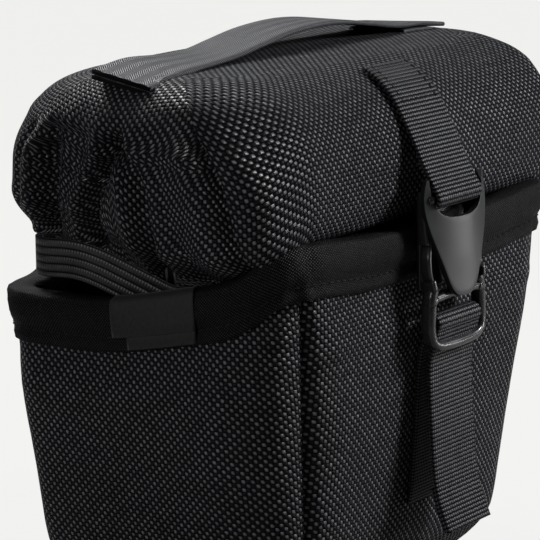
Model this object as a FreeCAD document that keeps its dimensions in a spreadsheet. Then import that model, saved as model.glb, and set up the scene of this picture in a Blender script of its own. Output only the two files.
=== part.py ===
# Padded camera pouch with a hinged, elastic-gathered lid, a carry handle and a
# side-release buckle on a webbing strap.  Millimetres, +Z up, origin at the
# centre of the base.  X runs along the long front panel, -Y faces the buckle.
import FreeCAD, Part
import math
import os
import Sketcher
from FreeCAD import Placement, Rotation, Vector

# Driving sizes.  Each is one cell of the sheet and is written only here.
SIZES = {
    "body_width": 168.0,        # outer cover at the rim, along X
    "body_depth": 117.0,        # outer cover at the rim, along Y
    "body_height": 120.0,       # floor to the top of the binding, front and back
    "end_drop": 12.0,           # how much lower the two end walls stop
    "taper_ends": 13.0,         # how far each end wall leans in down to the base
    "taper_front": 8.5,         # the same for the front and back walls
    "corner_radius": 26.0,
    "base_edge": 7.0,           # how far the base edge rounds in
    "cover_thick": 1.2,
    "foam_thick": 5.0,
    "lining_thick": 0.8,
    "layer_gap": 0.1,
    "binding_height": 16.0,
    "binding_thick": 1.0,
    "lid_over": 5.0,            # each end of the lid past its wall
    "lid_in": 2.5,              # front and back of the lid inside their walls
    "lid_rise": 49.5,           # top of the lid above the rim
    "lid_lift": 1.0,            # lid skirt above the rim binding
    "lid_edge_radius": 30.0,    # front and back top edges
    "lid_end_radius": 16.0,     # left and right ends
    "tuck_depth": 6.0,          # how far the lid reaches into the body
    "tuck_clear": 1.3,
    "elastic_height": 13.0,
    "elastic_thick": 2.2,
    "hinge_rise": 10.0,         # lid hinge line above the rim
    "hinge_inset": 29.0,        # hinge strip inside each end of the lid
    "webbing_width": 25.0,
    "webbing_thick": 1.4,
    "handle_width": 20.0,
    "handle_inset": 6.0,        # handle inside each end of the lid
    "handle_arch": 12.0,
    "handle_offset": 2.0,       # handle line behind the lid's middle
    "anchor_length": 28.0,
    "label_width": 30.0,
    "label_height": 16.0,
    "label_thick": 0.6,
    "label_offset": -5.0,
    "buckle_side": 3.0,         # buckle past each edge of the webbing
    "buckle_room": 0.2,         # front and back of the webbing loop in the buckle
    "buckle_plate": 2.0,
    "buckle_back": 1.6,
    "buckle_stand": 0.7,        # back of the buckle to the rim binding
    "buckle_above": 12.0,       # horn tips above the rim
    "tongue_below": 24.0,       # tongue tip below the rim
    "buckle_below": 40.5,       # release bar below the rim
    "bar_radius": 1.2,
    "bar_inset": 4.0,           # strap bar below the horn tips
    "cheek_below": 6.5,         # side walls of the female half below the rim
    "back_below": 17.0,         # back plate of the female half below the rim
    "lug_high": 2.0,            # latch lugs below the rim
    "lug_low": 5.0,
    "frame_below": 23.0,        # shoulder of the male frame below the rim
    "ladder_below": 32.0,       # ladder bar below the rim
    "frame_thick": 5.0,
    "frame_rail": 2.6,
    "frame_curve": 3.5,         # how far the release bar bows down
    "prong_thick": 3.0,
    "prong_half": 3.0,
    "arm_thick": 4.0,
    "latch_clear": 0.3,
    "strap_end": 92.0,          # sewn end of the lower strap below the rim
    "strap_sewn": 12.0,         # length of it that lies on the front wall
    "tail_end": 101.0,          # hem of the free tail below the rim
}

# Sizes that follow from others, as sums that both the sheet and the script read.
BASE_WIDTH = "body_width - 2*taper_ends"
BASE_DEPTH = "body_depth - 2*taper_front"
LID_WIDTH = "body_width + 2*lid_over"
LID_DEPTH = "body_depth - 2*lid_in"
BUCKLE_WIDTH = "webbing_width + 2*buckle_side"
BUCKLE_DEPTH = ("buckle_plate + buckle_back + 2*bar_radius + 2*latch_clear + 2*webbing_thick"
                " + 2*buckle_room")

doc = FreeCAD.newDocument("PaddedPouch")
sheet = doc.addObject("Spreadsheet::Sheet", "Sizes")
for row, (alias, value) in enumerate(SIZES.items(), start=1):
    sheet.set(f"A{row}", str(value))
    sheet.setAlias(f"A{row}", alias)
doc.recompute()


def size(alias):
    """The value of one cell of the sheet."""
    return float(sheet.get(alias))


def value_of(text):
    """The number that an expression in sheet aliases stands for."""
    total = 0.0
    sign = 1.0
    for word in text.split():
        if word in "+-":
            sign = 1.0 if word == "+" else -1.0
            continue
        factor = 1.0
        for part in word.split("*"):
            factor *= size(part) if part in SIZES else float(part)
        total += sign * factor
    return total


# ---------------------------------------------------------------- helpers

NODES = []


def node(thing):
    """Keep one finished sub-part for export under its Label."""
    NODES.append(thing)
    return thing


def set_place(thing, x="0", y="0", z="0"):
    """Bind the position of an object to the sheet."""
    for axis, text in zip("xyz", (x, y, z)):
        if text != "0":
            thing.setExpression(f"Placement.Base.{axis}", spread(text))
    return thing


def spread(text):
    """Write a spaced sum of products such as "2*gap + wall" for the sheet."""
    words = []
    for word in text.split():
        parts = ["Sizes." + part if part in SIZES else part for part in word.split("*")]
        words.append(" * ".join(parts))
    return " ".join(words)


def new_body(label):
    """An empty PartDesign body."""
    body = doc.addObject("PartDesign::Body", label)
    body.Label = label
    return body


def new_sketch(body, role, name, offset="0"):
    """A sketch on one of the body's origin planes, moved along its normal."""
    sketch = body.newObject("Sketcher::SketchObject", f"{body.Name}_{name}")
    plane = [item for item in body.Origin.OriginFeatures if item.Role == role][0]
    sketch.AttachmentSupport = [(plane, "")]
    sketch.MapMode = "FlatFace"
    if offset != "0":
        sketch.setExpression("AttachmentOffset.Base.z", spread(offset))
    return sketch


def draw(sketch, edges):
    """Draw a closed chain of lines and arcs and join its ends."""
    for edge in edges:
        sketch.addGeometry(edge, False)
    count = len(edges)
    for index in range(count):
        following = (index + 1) % count
        sketch.addConstraint(Sketcher.Constraint("Coincident", index, 2, following, 1))


def pad(body, sketch, name, length, both_ways=False, backwards=False):
    """Pad a sketch by a length bound to the sheet."""
    feature = body.newObject("PartDesign::Pad", f"{body.Name}_{name}")
    feature.Profile = sketch
    feature.setExpression("Length", spread(length))
    if both_ways:
        feature.Midplane = True
    feature.Reversed = backwards
    body.Tip = feature
    return feature


def pocket(body, sketch, name, length, both_ways=True):
    """Cut a sketch out of the body by a length bound to the sheet."""
    feature = body.newObject("PartDesign::Pocket", f"{body.Name}_{name}")
    feature.Profile = sketch
    feature.setExpression("Length", spread(length))
    feature.Midplane = both_ways
    body.Tip = feature
    return feature


def point(across, up):
    """A point of a sketch."""
    return Vector(across, up, 0.0)


def polygon(points):
    """Straight edges round a list of (across, up) corners."""
    corners = [point(*corner) for corner in points]
    return [Part.LineSegment(a, b) for a, b in zip(corners, corners[1:] + corners[:1])]


def round_box_sketch(sketch, width, depth, radius):
    """A centred rectangle with four equal round corners, every size bound."""
    half_w, half_d, r = value_of(width) / 2, value_of(depth) / 2, value_of(radius)
    edges = []
    centres = [(half_w - r, half_d - r), (r - half_w, half_d - r),
               (r - half_w, r - half_d), (half_w - r, r - half_d)]
    for index, (cx, cy) in enumerate(centres):
        start = index * math.pi / 2
        circle = Part.Circle(point(cx, cy), Vector(0, 0, 1), r)
        edges.append(Part.ArcOfCircle(circle, start, start + math.pi / 2))
    for index in range(4):
        nxt = edges[(index + 1) % 4] if index < 3 else edges[0]
        edges.append(Part.LineSegment(edges[index].EndPoint, nxt.StartPoint))
    for edge in edges:
        sketch.addGeometry(edge, False)
    for index in range(4):
        line = index + 4
        sketch.addConstraint(Sketcher.Constraint("Tangent", index, 2, line, 1))
        sketch.addConstraint(Sketcher.Constraint("Tangent", line, 2, (index + 1) % 4, 1))
        sketch.addConstraint(Sketcher.Constraint("Horizontal" if index % 2 == 0 else "Vertical", line))
        if index:
            sketch.addConstraint(Sketcher.Constraint("Equal", 0, index))
    sketch.addConstraint(Sketcher.Constraint("Symmetric", 0, 3, 2, 3, -1, 1))
    turn = sketch.addConstraint(Sketcher.Constraint("Radius", 0, r))
    wide = sketch.addConstraint(Sketcher.Constraint("DistanceX", 4, 2, 4, 1, 2 * (half_w - r)))
    deep = sketch.addConstraint(Sketcher.Constraint("DistanceY", 5, 2, 5, 1, 2 * (half_d - r)))
    sketch.setExpression(f"Constraints[{turn}]", spread(radius))
    sketch.setExpression(f"Constraints[{wide}]", f"{spread(width)} - 2 * ({spread(radius)})")
    sketch.setExpression(f"Constraints[{deep}]", f"{spread(depth)} - 2 * ({spread(radius)})")


def plate(label, width, depth, radius, thick, bottom):
    """A flat pad with round corners, its underside at one height."""
    body = new_body(label)
    sketch = new_sketch(body, "XY_Plane", "outline")
    round_box_sketch(sketch, width, depth, radius)
    pad(body, sketch, "pad", thick)
    return set_place(body, z=bottom)


def loaf(label, width, depth, bottom, top, edge_radius, end_radius):
    """A block with a round front and back top edge and round ends."""
    half_d, low, high = value_of(depth) / 2, value_of(bottom), value_of(top)
    r = value_of(edge_radius)
    body = new_body(label)
    sketch = new_sketch(body, "YZ_Plane", "profile")
    front = Part.ArcOfCircle(Part.Circle(point(r - half_d, high - r), Vector(0, 0, 1), r),
                             math.pi / 2, math.pi)
    back = Part.ArcOfCircle(Part.Circle(point(half_d - r, high - r), Vector(0, 0, 1), r),
                            0.0, math.pi / 2)
    corners = [point(-half_d, low), point(half_d, low), point(half_d, high - r),
               point(half_d - r, high), point(r - half_d, high), point(-half_d, high - r)]
    draw(sketch, [Part.LineSegment(corners[0], corners[1]), Part.LineSegment(corners[1], corners[2]),
                  back, Part.LineSegment(corners[3], corners[4]), front,
                  Part.LineSegment(corners[5], corners[0])])
    for line, kind in ((0, "Horizontal"), (1, "Vertical"), (3, "Horizontal"), (5, "Vertical")):
        sketch.addConstraint(Sketcher.Constraint(kind, line))
    deep = sketch.addConstraint(Sketcher.Constraint("DistanceX", 0, 1, 0, 2, 2 * half_d))
    turn = sketch.addConstraint(Sketcher.Constraint("Radius", 2, r))
    sketch.addConstraint(Sketcher.Constraint("Equal", 2, 4))
    sketch.setExpression(f"Constraints[{deep}]", spread(depth))
    sketch.setExpression(f"Constraints[{turn}]", spread(edge_radius))
    block = pad(body, sketch, "pad", width, both_ways=True)
    doc.recompute()
    half_w = value_of(width) / 2
    ends = [f"Edge{index}" for index, edge in enumerate(block.Shape.Edges, start=1)
            if abs(edge.BoundBox.XMin - edge.BoundBox.XMax) < 1e-6
            and abs(abs(edge.BoundBox.XMin) - half_w) < 1e-6 and edge.BoundBox.ZMax > low + 1e-6]
    round_ends = body.newObject("PartDesign::Fillet", f"{body.Name}_ends")
    round_ends.Base = (block, ends)
    round_ends.setExpression("Radius", spread(end_radius))
    body.Tip = round_ends
    return body


def block(label, length, depth, height, x="0", y="0", z="0"):
    """A Part box, centred on (x, y), standing on z."""
    box = doc.addObject("Part::Box", label)
    box.Label = label
    box.setExpression("Length", spread(length))
    box.setExpression("Width", spread(depth))
    box.setExpression("Height", spread(height))
    box.setExpression("Placement.Base.x", f"{spread(x)} - ({spread(length)}) / 2")
    box.setExpression("Placement.Base.y", f"{spread(y)} - ({spread(depth)}) / 2")
    box.setExpression("Placement.Base.z", spread(z))
    return box


def cut(label, base, tool):
    """One object less another."""
    feature = doc.addObject("Part::Cut", label)
    feature.Label = label
    feature.Base = base
    feature.Tool = tool
    return feature


def fuse(label, things):
    """Several objects as one solid."""
    feature = doc.addObject("Part::MultiFuse", label)
    feature.Label = label
    feature.Shapes = things
    feature.Refine = True
    return feature


def common(label, base, tool):
    """What two objects share."""
    feature = doc.addObject("Part::Common", label)
    feature.Label = label
    feature.Base = base
    feature.Tool = tool
    return feature


def band(label, route, radii, thick, width):
    """A strap of one thickness along a bent route in the YZ plane."""
    corners = [point(*corner) for corner in route]
    sides = {side: [] for side in (1.0, -1.0)}
    half = value_of(thick) / 2
    for side, chain in sides.items():
        ahead = (corners[1] - corners[0]).normalize()
        last = corners[0] + Vector(-ahead.y, ahead.x, 0) * half * side
        for before, here, after, radius in zip(corners, corners[1:], corners[2:], radii):
            d_in = (here - before).normalize()
            d_out = (after - here).normalize()
            bend = math.atan2(d_in.x * d_out.y - d_in.y * d_out.x, d_in.dot(d_out))
            left = 1.0 if bend > 0 else -1.0
            reach = radius * math.tan(abs(bend) / 2)
            start = here - d_in * reach
            centre = start + Vector(-d_in.y, d_in.x, 0) * radius * left
            turned = radius - half * side * left
            middle = centre + (here - centre).normalize() * turned
            first = centre + (start - centre).normalize() * turned
            final = centre + (here + d_out * reach - centre).normalize() * turned
            if first.distanceToPoint(last) > 1e-6:
                chain.append(Part.LineSegment(last, first))
            chain.append(Part.Arc(first, middle, final))
            last = final
        finish = (corners[-1] - corners[-2]).normalize()
        chain.append(Part.LineSegment(last, corners[-1] + Vector(-finish.y, finish.x, 0) * half * side))
    body = new_body(label)
    sketch = new_sketch(body, "YZ_Plane", "edge")
    forward = sides[1.0]
    outline = list(forward)
    outline.append(Part.LineSegment(forward[-1].EndPoint, sides[-1.0][-1].EndPoint))
    for edge in reversed(sides[-1.0]):
        if isinstance(edge, Part.LineSegment):
            outline.append(Part.LineSegment(edge.EndPoint, edge.StartPoint))
        else:
            middle = edge.value((edge.FirstParameter + edge.LastParameter) / 2)
            outline.append(Part.Arc(edge.EndPoint, middle, edge.StartPoint))
    outline.append(Part.LineSegment(outline[-1].EndPoint, forward[0].StartPoint))
    for edge in outline:
        sketch.addGeometry(edge, False)
    pad(body, sketch, "pad", width, both_ways=True)
    return body


def ring(label, y, z, inner, outer, width):
    """A webbing loop round a bar that lies along X."""
    body = new_body(label)
    sketch = new_sketch(body, "YZ_Plane", "loop")
    for radius in (outer, inner):
        sketch.addGeometry(Part.Circle(point(0, 0), Vector(0, 0, 1), value_of(radius)), False)
    for index, radius in enumerate((outer, inner)):
        sketch.addConstraint(Sketcher.Constraint("Coincident", index, 3, -1, 1))
        turn = sketch.addConstraint(Sketcher.Constraint("Radius", index, value_of(radius)))
        sketch.setExpression(f"Constraints[{turn}]", spread(radius))
    pad(body, sketch, "pad", width, both_ways=True)
    body.Placement = Placement(Vector(0, y, z), Rotation())
    return body


# ---------------------------------------------------------------- body walls

RIM = size("body_height")
WALL = size("cover_thick") + size("foam_thick") + size("lining_thick") + 2 * size("layer_gap")


def plan_at(height):
    """Half width, half depth and corner radius of the cover at one height."""
    share = height / RIM
    half_w = size("body_width") / 2 - size("taper_ends") * (1 - share)
    half_d = size("body_depth") / 2 - size("taper_front") * (1 - share)
    edge = size("base_edge")
    if height < 2 * edge:
        turned_in = edge * (1 - height / (2 * edge)) ** 2
        half_w -= turned_in
        half_d -= turned_in
    return half_w, half_d, size("corner_radius")


def corner_arc(centre_x, centre_y, radius, start, stop, height):
    """An arc of a round corner, from one angle to another, in degrees."""
    ends = []
    for angle in (start, (start + stop) / 2, stop):
        turn = math.radians(angle)
        ends.append(Vector(centre_x + radius * math.cos(turn), centre_y + radius * math.sin(turn), height))
    return Part.Arc(*ends).toShape()


def side_wire(side, outer, inner, height):
    """The section of one wall between its two corner seams."""
    half_w, half_d, radius = plan_at(height)
    x_mid, y_mid = half_w - radius, half_d - radius
    first = {"back": 45, "left": 135, "front": 225, "right": 315}[side]
    corners = [(1, 1), (-1, 1), (-1, -1), (1, -1)]
    here = corners[(first // 90) % 4]
    after = corners[(first // 90 + 1) % 4]
    chain = []
    for inset, step in ((outer, 1), (inner, -1)):
        turn = radius - inset
        one = corner_arc(here[0] * x_mid, here[1] * y_mid, turn, first, first + 45, height)
        two = corner_arc(after[0] * x_mid, after[1] * y_mid, turn, first + 45, first + 90, height)
        line = Part.makeLine(one.Vertexes[-1].Point, two.Vertexes[0].Point)
        chain.append([one, line, two][::step])
    start, finish = chain[0][0].Vertexes[0].Point, chain[0][2].Vertexes[-1].Point
    inner_start, inner_finish = chain[1][2].Vertexes[0].Point, chain[1][0].Vertexes[-1].Point
    edges = chain[0] + [Part.makeLine(finish, inner_finish)] + chain[1]
    edges.append(Part.makeLine(inner_start, start))
    return Part.Wire(Part.__sortEdges__(edges))


def levels(bottom, top):
    """Heights for the sections of a wall, the same for every layer."""
    edge = 2 * size("base_edge")
    floor = size("cover_thick") + size("foam_thick") + 2 * size("layer_gap")
    steps = sorted([0.25 * edge, floor, floor + size("lining_thick") + size("layer_gap"), edge])
    apart = size("layer_gap") / 2
    return [bottom] + [height for height in steps if bottom + apart < height < top - apart] + [top]


def wall(label, side, outer, inner, bottom, top):
    """One layer of one wall, tapering from the rim to the base."""
    wires = [side_wire(side, outer, inner, height) for height in levels(bottom, top)]
    feature = doc.addObject("Part::Feature", label)
    feature.Label = label
    feature.Shape = Part.makeLoft(wires, True, True)
    return feature


def build_walls():
    """Cover, foam and lining of the four walls."""
    gap = size("layer_gap")
    cover = size("cover_thick")
    foam = size("foam_thick")
    lining = size("lining_thick")
    wall_top = RIM - size("binding_thick") - gap
    tops = {"front": wall_top, "back": wall_top,
            "left": wall_top - size("end_drop"), "right": wall_top - size("end_drop")}
    foam_floor = cover + gap + foam + gap
    layers = (
        ("cover", 0.0, cover, 0.0),
        ("foam", cover + gap, cover + gap + foam, foam_floor),
        ("lining", cover + foam + 2 * gap, cover + foam + 2 * gap + lining, foam_floor + lining + gap),
    )
    for layer, outer, inner, bottom in layers:
        for side, top in tops.items():
            node(wall(f"{side}_{layer}", side, outer, inner, bottom, top))


def build_base():
    """Cover, foam and lining of the base, inside the walls."""
    seat = "2*cover_thick - 2*layer_gap - 2*base_edge"
    node(plate("base_cover", f"{BASE_WIDTH} - {seat}", f"{BASE_DEPTH} - {seat}",
               "corner_radius - cover_thick - layer_gap", "cover_thick", "0"))
    pad_inset = "2*base_edge - 2*cover_thick"
    node(plate("base_foam", f"{BASE_WIDTH} - {pad_inset}", f"{BASE_DEPTH} - {pad_inset}",
               "corner_radius - cover_thick", "foam_thick", "cover_thick + layer_gap"))
    inside = "2*base_edge - 2*foam_thick - 2*cover_thick"
    node(plate("base_lining", f"{BASE_WIDTH} - {inside}", f"{BASE_DEPTH} - {inside}",
               "corner_radius - foam_thick - cover_thick", "lining_thick",
               "cover_thick + foam_thick + 2*layer_gap"))


def build_binding():
    """The tape folded over the top edge of each wall."""
    gap, tape = size("layer_gap"), size("binding_thick")
    for side in ("front", "back", "left", "right"):
        top = RIM - size("end_drop") if side in ("left", "right") else RIM
        bottom = top - size("binding_height")
        whole = Part.makeLoft([side_wire(side, -gap - tape, WALL + gap + tape, height)
                               for height in (bottom, top)], True, True)
        slot = Part.makeLoft([side_wire(side, -gap, WALL + gap, height)
                              for height in (bottom, top - tape)], True, True)
        feature = doc.addObject("Part::Feature", f"{side}_binding")
        feature.Label = f"{side}_binding"
        feature.Shape = whole.cut(slot)
        node(feature)


def build_label():
    """Blank woven label folded over the binding of the left wall."""
    gap, tape, thick = size("layer_gap"), size("binding_thick"), size("label_thick")
    rim = RIM - size("end_drop")
    low = rim - size("label_height")
    top = rim + gap
    out = gap + tape + gap
    high_x, low_x = -plan_at(rim)[0] - out, -plan_at(low)[0] - out
    inside = -plan_at(rim)[0] + WALL + gap + tape
    body = new_body("label")
    sketch = new_sketch(body, "XZ_Plane", "fold")
    draw(sketch, polygon([(high_x, top), (low_x, low), (low_x - thick, low), (high_x - thick, top + thick),
                          (inside, top + thick), (inside, top)]))
    pad(body, sketch, "pad", "label_width", both_ways=True)
    return node(set_place(body, y="label_offset"))


# ---------------------------------------------------------------- lid

LID_LOW = "body_height + lid_lift"
LID_TOP = "body_height + lid_rise"
TUCK_LOW = "body_height - tuck_depth"
# The raised ends reach in to the skirt, on both sides of the lid's end face.
RELIEF_LONG = ("2*cover_thick + 2*foam_thick + 2*lining_thick + 2*binding_thick + 4*layer_gap + 2*tuck_clear"
               " + 2*elastic_thick + 2*lid_over")


def rim_inside(axis):
    """The opening inside the rim binding, as a sum of sheet names."""
    return (f"{axis} - 2*cover_thick - 2*foam_thick - 2*lining_thick - 2*binding_thick"
            " - 6*layer_gap")


def build_lid():
    """Cover, foam, lining and end elastics of the lid."""
    tuck_w = rim_inside("body_width") + " - 2*tuck_clear - 2*elastic_thick"
    tuck_d = rim_inside("body_depth") + " - 2*tuck_clear"
    skirt_radius = "lid_end_radius - cover_thick"
    flat_end = tuck_d + " - 2*lid_end_radius"
    skirt_tall = "tuck_depth + lid_lift + 2*cover_thick"

    dome = loaf("lid_dome", LID_WIDTH, LID_DEPTH, LID_LOW, LID_TOP, "lid_edge_radius", "lid_end_radius")
    hollow = loaf("lid_hollow", LID_WIDTH + " - 2*cover_thick", LID_DEPTH + " - 2*cover_thick",
                  LID_LOW + " + cover_thick", LID_TOP + " - cover_thick",
                  "lid_edge_radius - cover_thick", "lid_end_radius - cover_thick")
    skirt = plate("lid_skirt", tuck_w, tuck_d, skirt_radius, skirt_tall, TUCK_LOW)
    mouth = plate("lid_mouth", tuck_w + " - 2*cover_thick", tuck_d + " - 2*cover_thick",
                  skirt_radius + " - cover_thick", skirt_tall + " + 2*cover_thick", TUCK_LOW + " - cover_thick")
    outside = fuse("lid_outside", [dome, skirt])
    inside = fuse("lid_inside", [hollow, mouth])
    shell = cut("lid_shell", outside, inside)
    reliefs = []
    for side, sign in (("left", "-1*"), ("right", "")):
        reliefs.append(block(f"relief_{side}", RELIEF_LONG, flat_end + " + 2*layer_gap",
                             "elastic_height", x=f"{sign}0.5*body_width + {sign}lid_over", z="body_height"))
    relief = fuse("end_reliefs", reliefs)
    node(cut("lid_cover", shell, relief))

    pad_out = loaf("lid_foam_out", LID_WIDTH + " - 2*cover_thick - 2*layer_gap",
                   LID_DEPTH + " - 2*cover_thick - 2*layer_gap", LID_LOW + " + cover_thick + layer_gap",
                   LID_TOP + " - cover_thick - layer_gap", "lid_edge_radius - cover_thick - layer_gap",
                   "lid_end_radius - cover_thick - layer_gap")
    pad_in = loaf("lid_foam_in", LID_WIDTH + " - 2*cover_thick - 2*layer_gap - 2*foam_thick",
                  LID_DEPTH + " - 2*cover_thick - 2*layer_gap - 2*foam_thick", "body_height - lid_lift",
                  LID_TOP + " - cover_thick - layer_gap - foam_thick",
                  "lid_edge_radius - cover_thick - layer_gap - foam_thick",
                  "lid_end_radius - cover_thick - layer_gap - foam_thick")
    node(cut("lid_foam", cut("lid_pad", pad_out, pad_in), relief))

    line_w = tuck_w + " - 2*cover_thick - 2*layer_gap"
    line_d = tuck_d + " - 2*cover_thick - 2*layer_gap"
    line_top = LID_TOP + " - cover_thick - foam_thick - 2*layer_gap"
    line_out = loaf("lid_lining_out", line_w, line_d, TUCK_LOW, line_top,
                    "lid_edge_radius - cover_thick - foam_thick - 2*layer_gap",
                    skirt_radius + " - cover_thick - layer_gap")
    line_in = loaf("lid_lining_in", line_w + " - 2*lining_thick", line_d + " - 2*lining_thick",
                   TUCK_LOW + " - lining_thick", line_top + " - lining_thick",
                   "lid_edge_radius - cover_thick - foam_thick - 2*layer_gap - lining_thick",
                   skirt_radius + " - cover_thick - layer_gap - lining_thick")
    node(cut("lid_lining", line_out, line_in))

    for side, sign in (("left", "-1*"), ("right", "")):
        outer = plate(f"elastic_out_{side}", tuck_w + " + 2*elastic_thick", tuck_d,
                      skirt_radius + " + elastic_thick", "tuck_depth + elastic_height - layer_gap", TUCK_LOW)
        inner = plate(f"elastic_in_{side}", tuck_w + " + 2*layer_gap", tuck_d + " + 2*layer_gap",
                      skirt_radius + " + layer_gap", "2*tuck_depth + elastic_height", TUCK_LOW + " - lid_lift")
        loop = cut(f"elastic_ring_{side}", outer, inner)
        keep = block(f"elastic_keep_{side}", "2*lid_end_radius", flat_end,
                     "elastic_height + 2*tuck_depth", x=f"{sign}0.5*body_width", z=TUCK_LOW + " - lid_lift")
        node(common(f"lid_elastic_{side}", loop, keep))


def build_hinge():
    """The strip that joins the lid to the back wall, in two halves."""
    width = LID_WIDTH + " - 2*hinge_inset"
    strip = block("hinge_strip", width, "binding_thick", "hinge_rise + binding_height - latch_clear",
                  z="body_height - binding_height")
    strip.setExpression("Placement.Base.y", "Sizes.body_depth / 2 + 2 * Sizes.layer_gap + Sizes.binding_thick")
    node(strip)
    flap = block("lid_hinge_flap", width, "binding_thick", "binding_height",
                 z="body_height + hinge_rise + latch_clear")
    flap.setExpression("Placement.Base.y", f"({spread(LID_DEPTH)}) / 2 + Sizes.layer_gap")
    node(flap)


# ---------------------------------------------------------------- webbing

def build_handle():
    """The arched carry handle and its doubled ends on top of the lid."""
    top = size("body_height") + size("lid_rise")
    tape, gap = size("webbing_thick"), size("layer_gap")
    half = value_of(LID_WIDTH) / 2 - size("handle_inset")
    flat = size("anchor_length")
    rise = size("handle_arch")
    low = top + gap + tape + gap + tape / 2
    ramp = rise * 2.0
    route = [(-half, low), (-half + flat, low), (-half + flat + ramp, low + rise),
             (half - flat - ramp, low + rise), (half - flat, low), (half, low)]
    body = band("carry_handle", route, [18.0, 30.0, 30.0, 18.0], "webbing_thick", "handle_width")
    body.Placement = Placement(Vector(0, size("handle_offset"), 0), Rotation(Vector(0, 0, 1), -90))
    node(body)
    for side, sign in (("left", "-1*"), ("right", "")):
        node(block(f"handle_anchor_{side}", "anchor_length", "handle_width", "webbing_thick",
                   x=" ".join([f"{sign}0.5*body_width + {sign}lid_over - {sign}handle_inset",
                               f"- {sign}0.5*anchor_length"]), y="handle_offset",
                   z="body_height + lid_rise + layer_gap"))


BUCKLE_BACK = size("body_depth") / 2 + size("binding_thick") + 2 * size("layer_gap") + size("buckle_stand")
BUCKLE_FRONT = BUCKLE_BACK + value_of(BUCKLE_DEPTH)
BAR_Y = -(BUCKLE_BACK + BUCKLE_FRONT + size("buckle_back") - size("buckle_plate")) / 2
MALE_FRONT = BUCKLE_FRONT - size("buckle_plate") - size("latch_clear")
ARM_Y = -(MALE_FRONT - 2 * size("layer_gap") - size("arm_thick") / 2)


def build_upper_strap():
    """Doubled webbing from the top of the lid down to the female half."""
    edge, tape = size("lid_edge_radius"), size("webbing_thick")
    top, face = RIM + size("lid_rise"), value_of(LID_DEPTH) / 2
    off = tape + size("layer_gap")
    bar_z = RIM + size("buckle_above") - size("bar_inset")
    centre = (edge - face, top - edge)
    start = math.radians(28.0)
    out = edge + off
    corner_y = -(face + off)
    begin = (centre[0] - out * math.sin(start), centre[1] + out * math.cos(start))
    along = (-math.cos(start), -math.sin(start))
    reach = (corner_y - begin[0]) / along[0]
    corner = (corner_y, begin[1] + along[1] * reach)
    loop_top = bar_z + size("bar_radius") + tape + 3.0
    route = [begin, corner, (corner_y, loop_top + 9.0), (BAR_Y, loop_top - 2.0)]
    node(band("upper_strap", route, [out, 8.0], "2*webbing_thick", "webbing_width"))
    node(ring("upper_strap_loop", BAR_Y, bar_z, "bar_radius + latch_clear",
              "bar_radius + latch_clear + webbing_thick", "webbing_width"))
    return bar_z


def build_female(bar_z):
    """Female half: horned plate with a tapered tongue, side walls, back plate and bar."""
    half = value_of(BUCKLE_WIDTH) / 2
    horn = RIM + size("buckle_above")
    tip = RIM - size("tongue_below")
    plate_t, wall_t = size("buckle_plate"), size("buckle_back")
    body = new_body("buckle_female")

    front = new_sketch(body, "XZ_Plane", "front", "0")
    front.AttachmentOffset = Placement(Vector(0, 0, BUCKLE_FRONT - plate_t), Rotation())
    tip_r = 0.3 * half
    shoulder = RIM - 5.0
    left = [point(-half + 2.2, horn), point(-half, horn - 6.0), point(-half + 0.8, shoulder),
            point(-tip_r, tip + 0.8 * tip_r)]
    flank = 0.5 * (left[2] + left[3]) + point(-1.3, -0.8)
    right = [Vector(-corner.x, corner.y, 0) for corner in left]
    dip = point(0, RIM + 2.0)
    draw(front, [
        Part.LineSegment(left[0], left[1]), Part.LineSegment(left[1], left[2]),
        Part.Arc(left[2], flank, left[3]), Part.Arc(left[3], point(0, tip), right[3]),
        Part.Arc(right[3], Vector(-flank.x, flank.y, 0), right[2]), Part.LineSegment(right[2], right[1]),
        Part.LineSegment(right[1], right[0]), Part.Arc(right[0], dip, left[0])])
    pad(body, front, "front_pad", "buckle_plate")

    inset = 0.4
    wall_low = RIM - size("cheek_below")
    for name, sign in (("left", -1), ("right", 1)):
        side = new_sketch(body, "XZ_Plane", f"{name}_wall", "0")
        side.AttachmentOffset = Placement(Vector(0, 0, BUCKLE_BACK), Rotation())
        outer, inner = sign * (half - inset), sign * (half - inset - wall_t)
        xs = sorted((outer, inner))
        draw(side, polygon([(xs[0], wall_low), (xs[1], wall_low), (xs[1], horn - 2.0), (xs[0], horn - 2.0)]))
        pad(body, side, f"{name}_wall_pad", BUCKLE_DEPTH + " - buckle_plate")

    back = new_sketch(body, "XZ_Plane", "back", "0")
    back.AttachmentOffset = Placement(Vector(0, 0, BUCKLE_BACK), Rotation())
    back_low, narrow = RIM - size("back_below"), half - 4.5
    draw(back, polygon([(inset - half, wall_low), (-narrow, back_low), (narrow, back_low),
                        (half - inset, wall_low), (half - inset, RIM + 1.0), (inset - half, RIM + 1.0)]))
    pad(body, back, "back_pad", "buckle_back")

    bar = new_sketch(body, "YZ_Plane", "bar")
    bar.addGeometry(Part.Circle(point(BAR_Y, bar_z), Vector(0, 0, 1), size("bar_radius")), False)
    pad(body, bar, "bar_pad", BUCKLE_WIDTH + " - buckle_back", both_ways=True)

    window = new_sketch(body, "YZ_Plane", "windows")
    clear = size("latch_clear")
    lug_low, lug_high = RIM - size("lug_low") - clear, RIM - size("lug_high") + clear
    near, far = ARM_Y - size("arm_thick") / 2 - clear, ARM_Y + size("arm_thick") / 2 + clear
    draw(window, polygon([(near, lug_low), (far, lug_low), (far, lug_high), (near, lug_high)]))
    pocket(body, window, "windows_cut", "2*webbing_width + 4*buckle_side")
    node(body)


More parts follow.
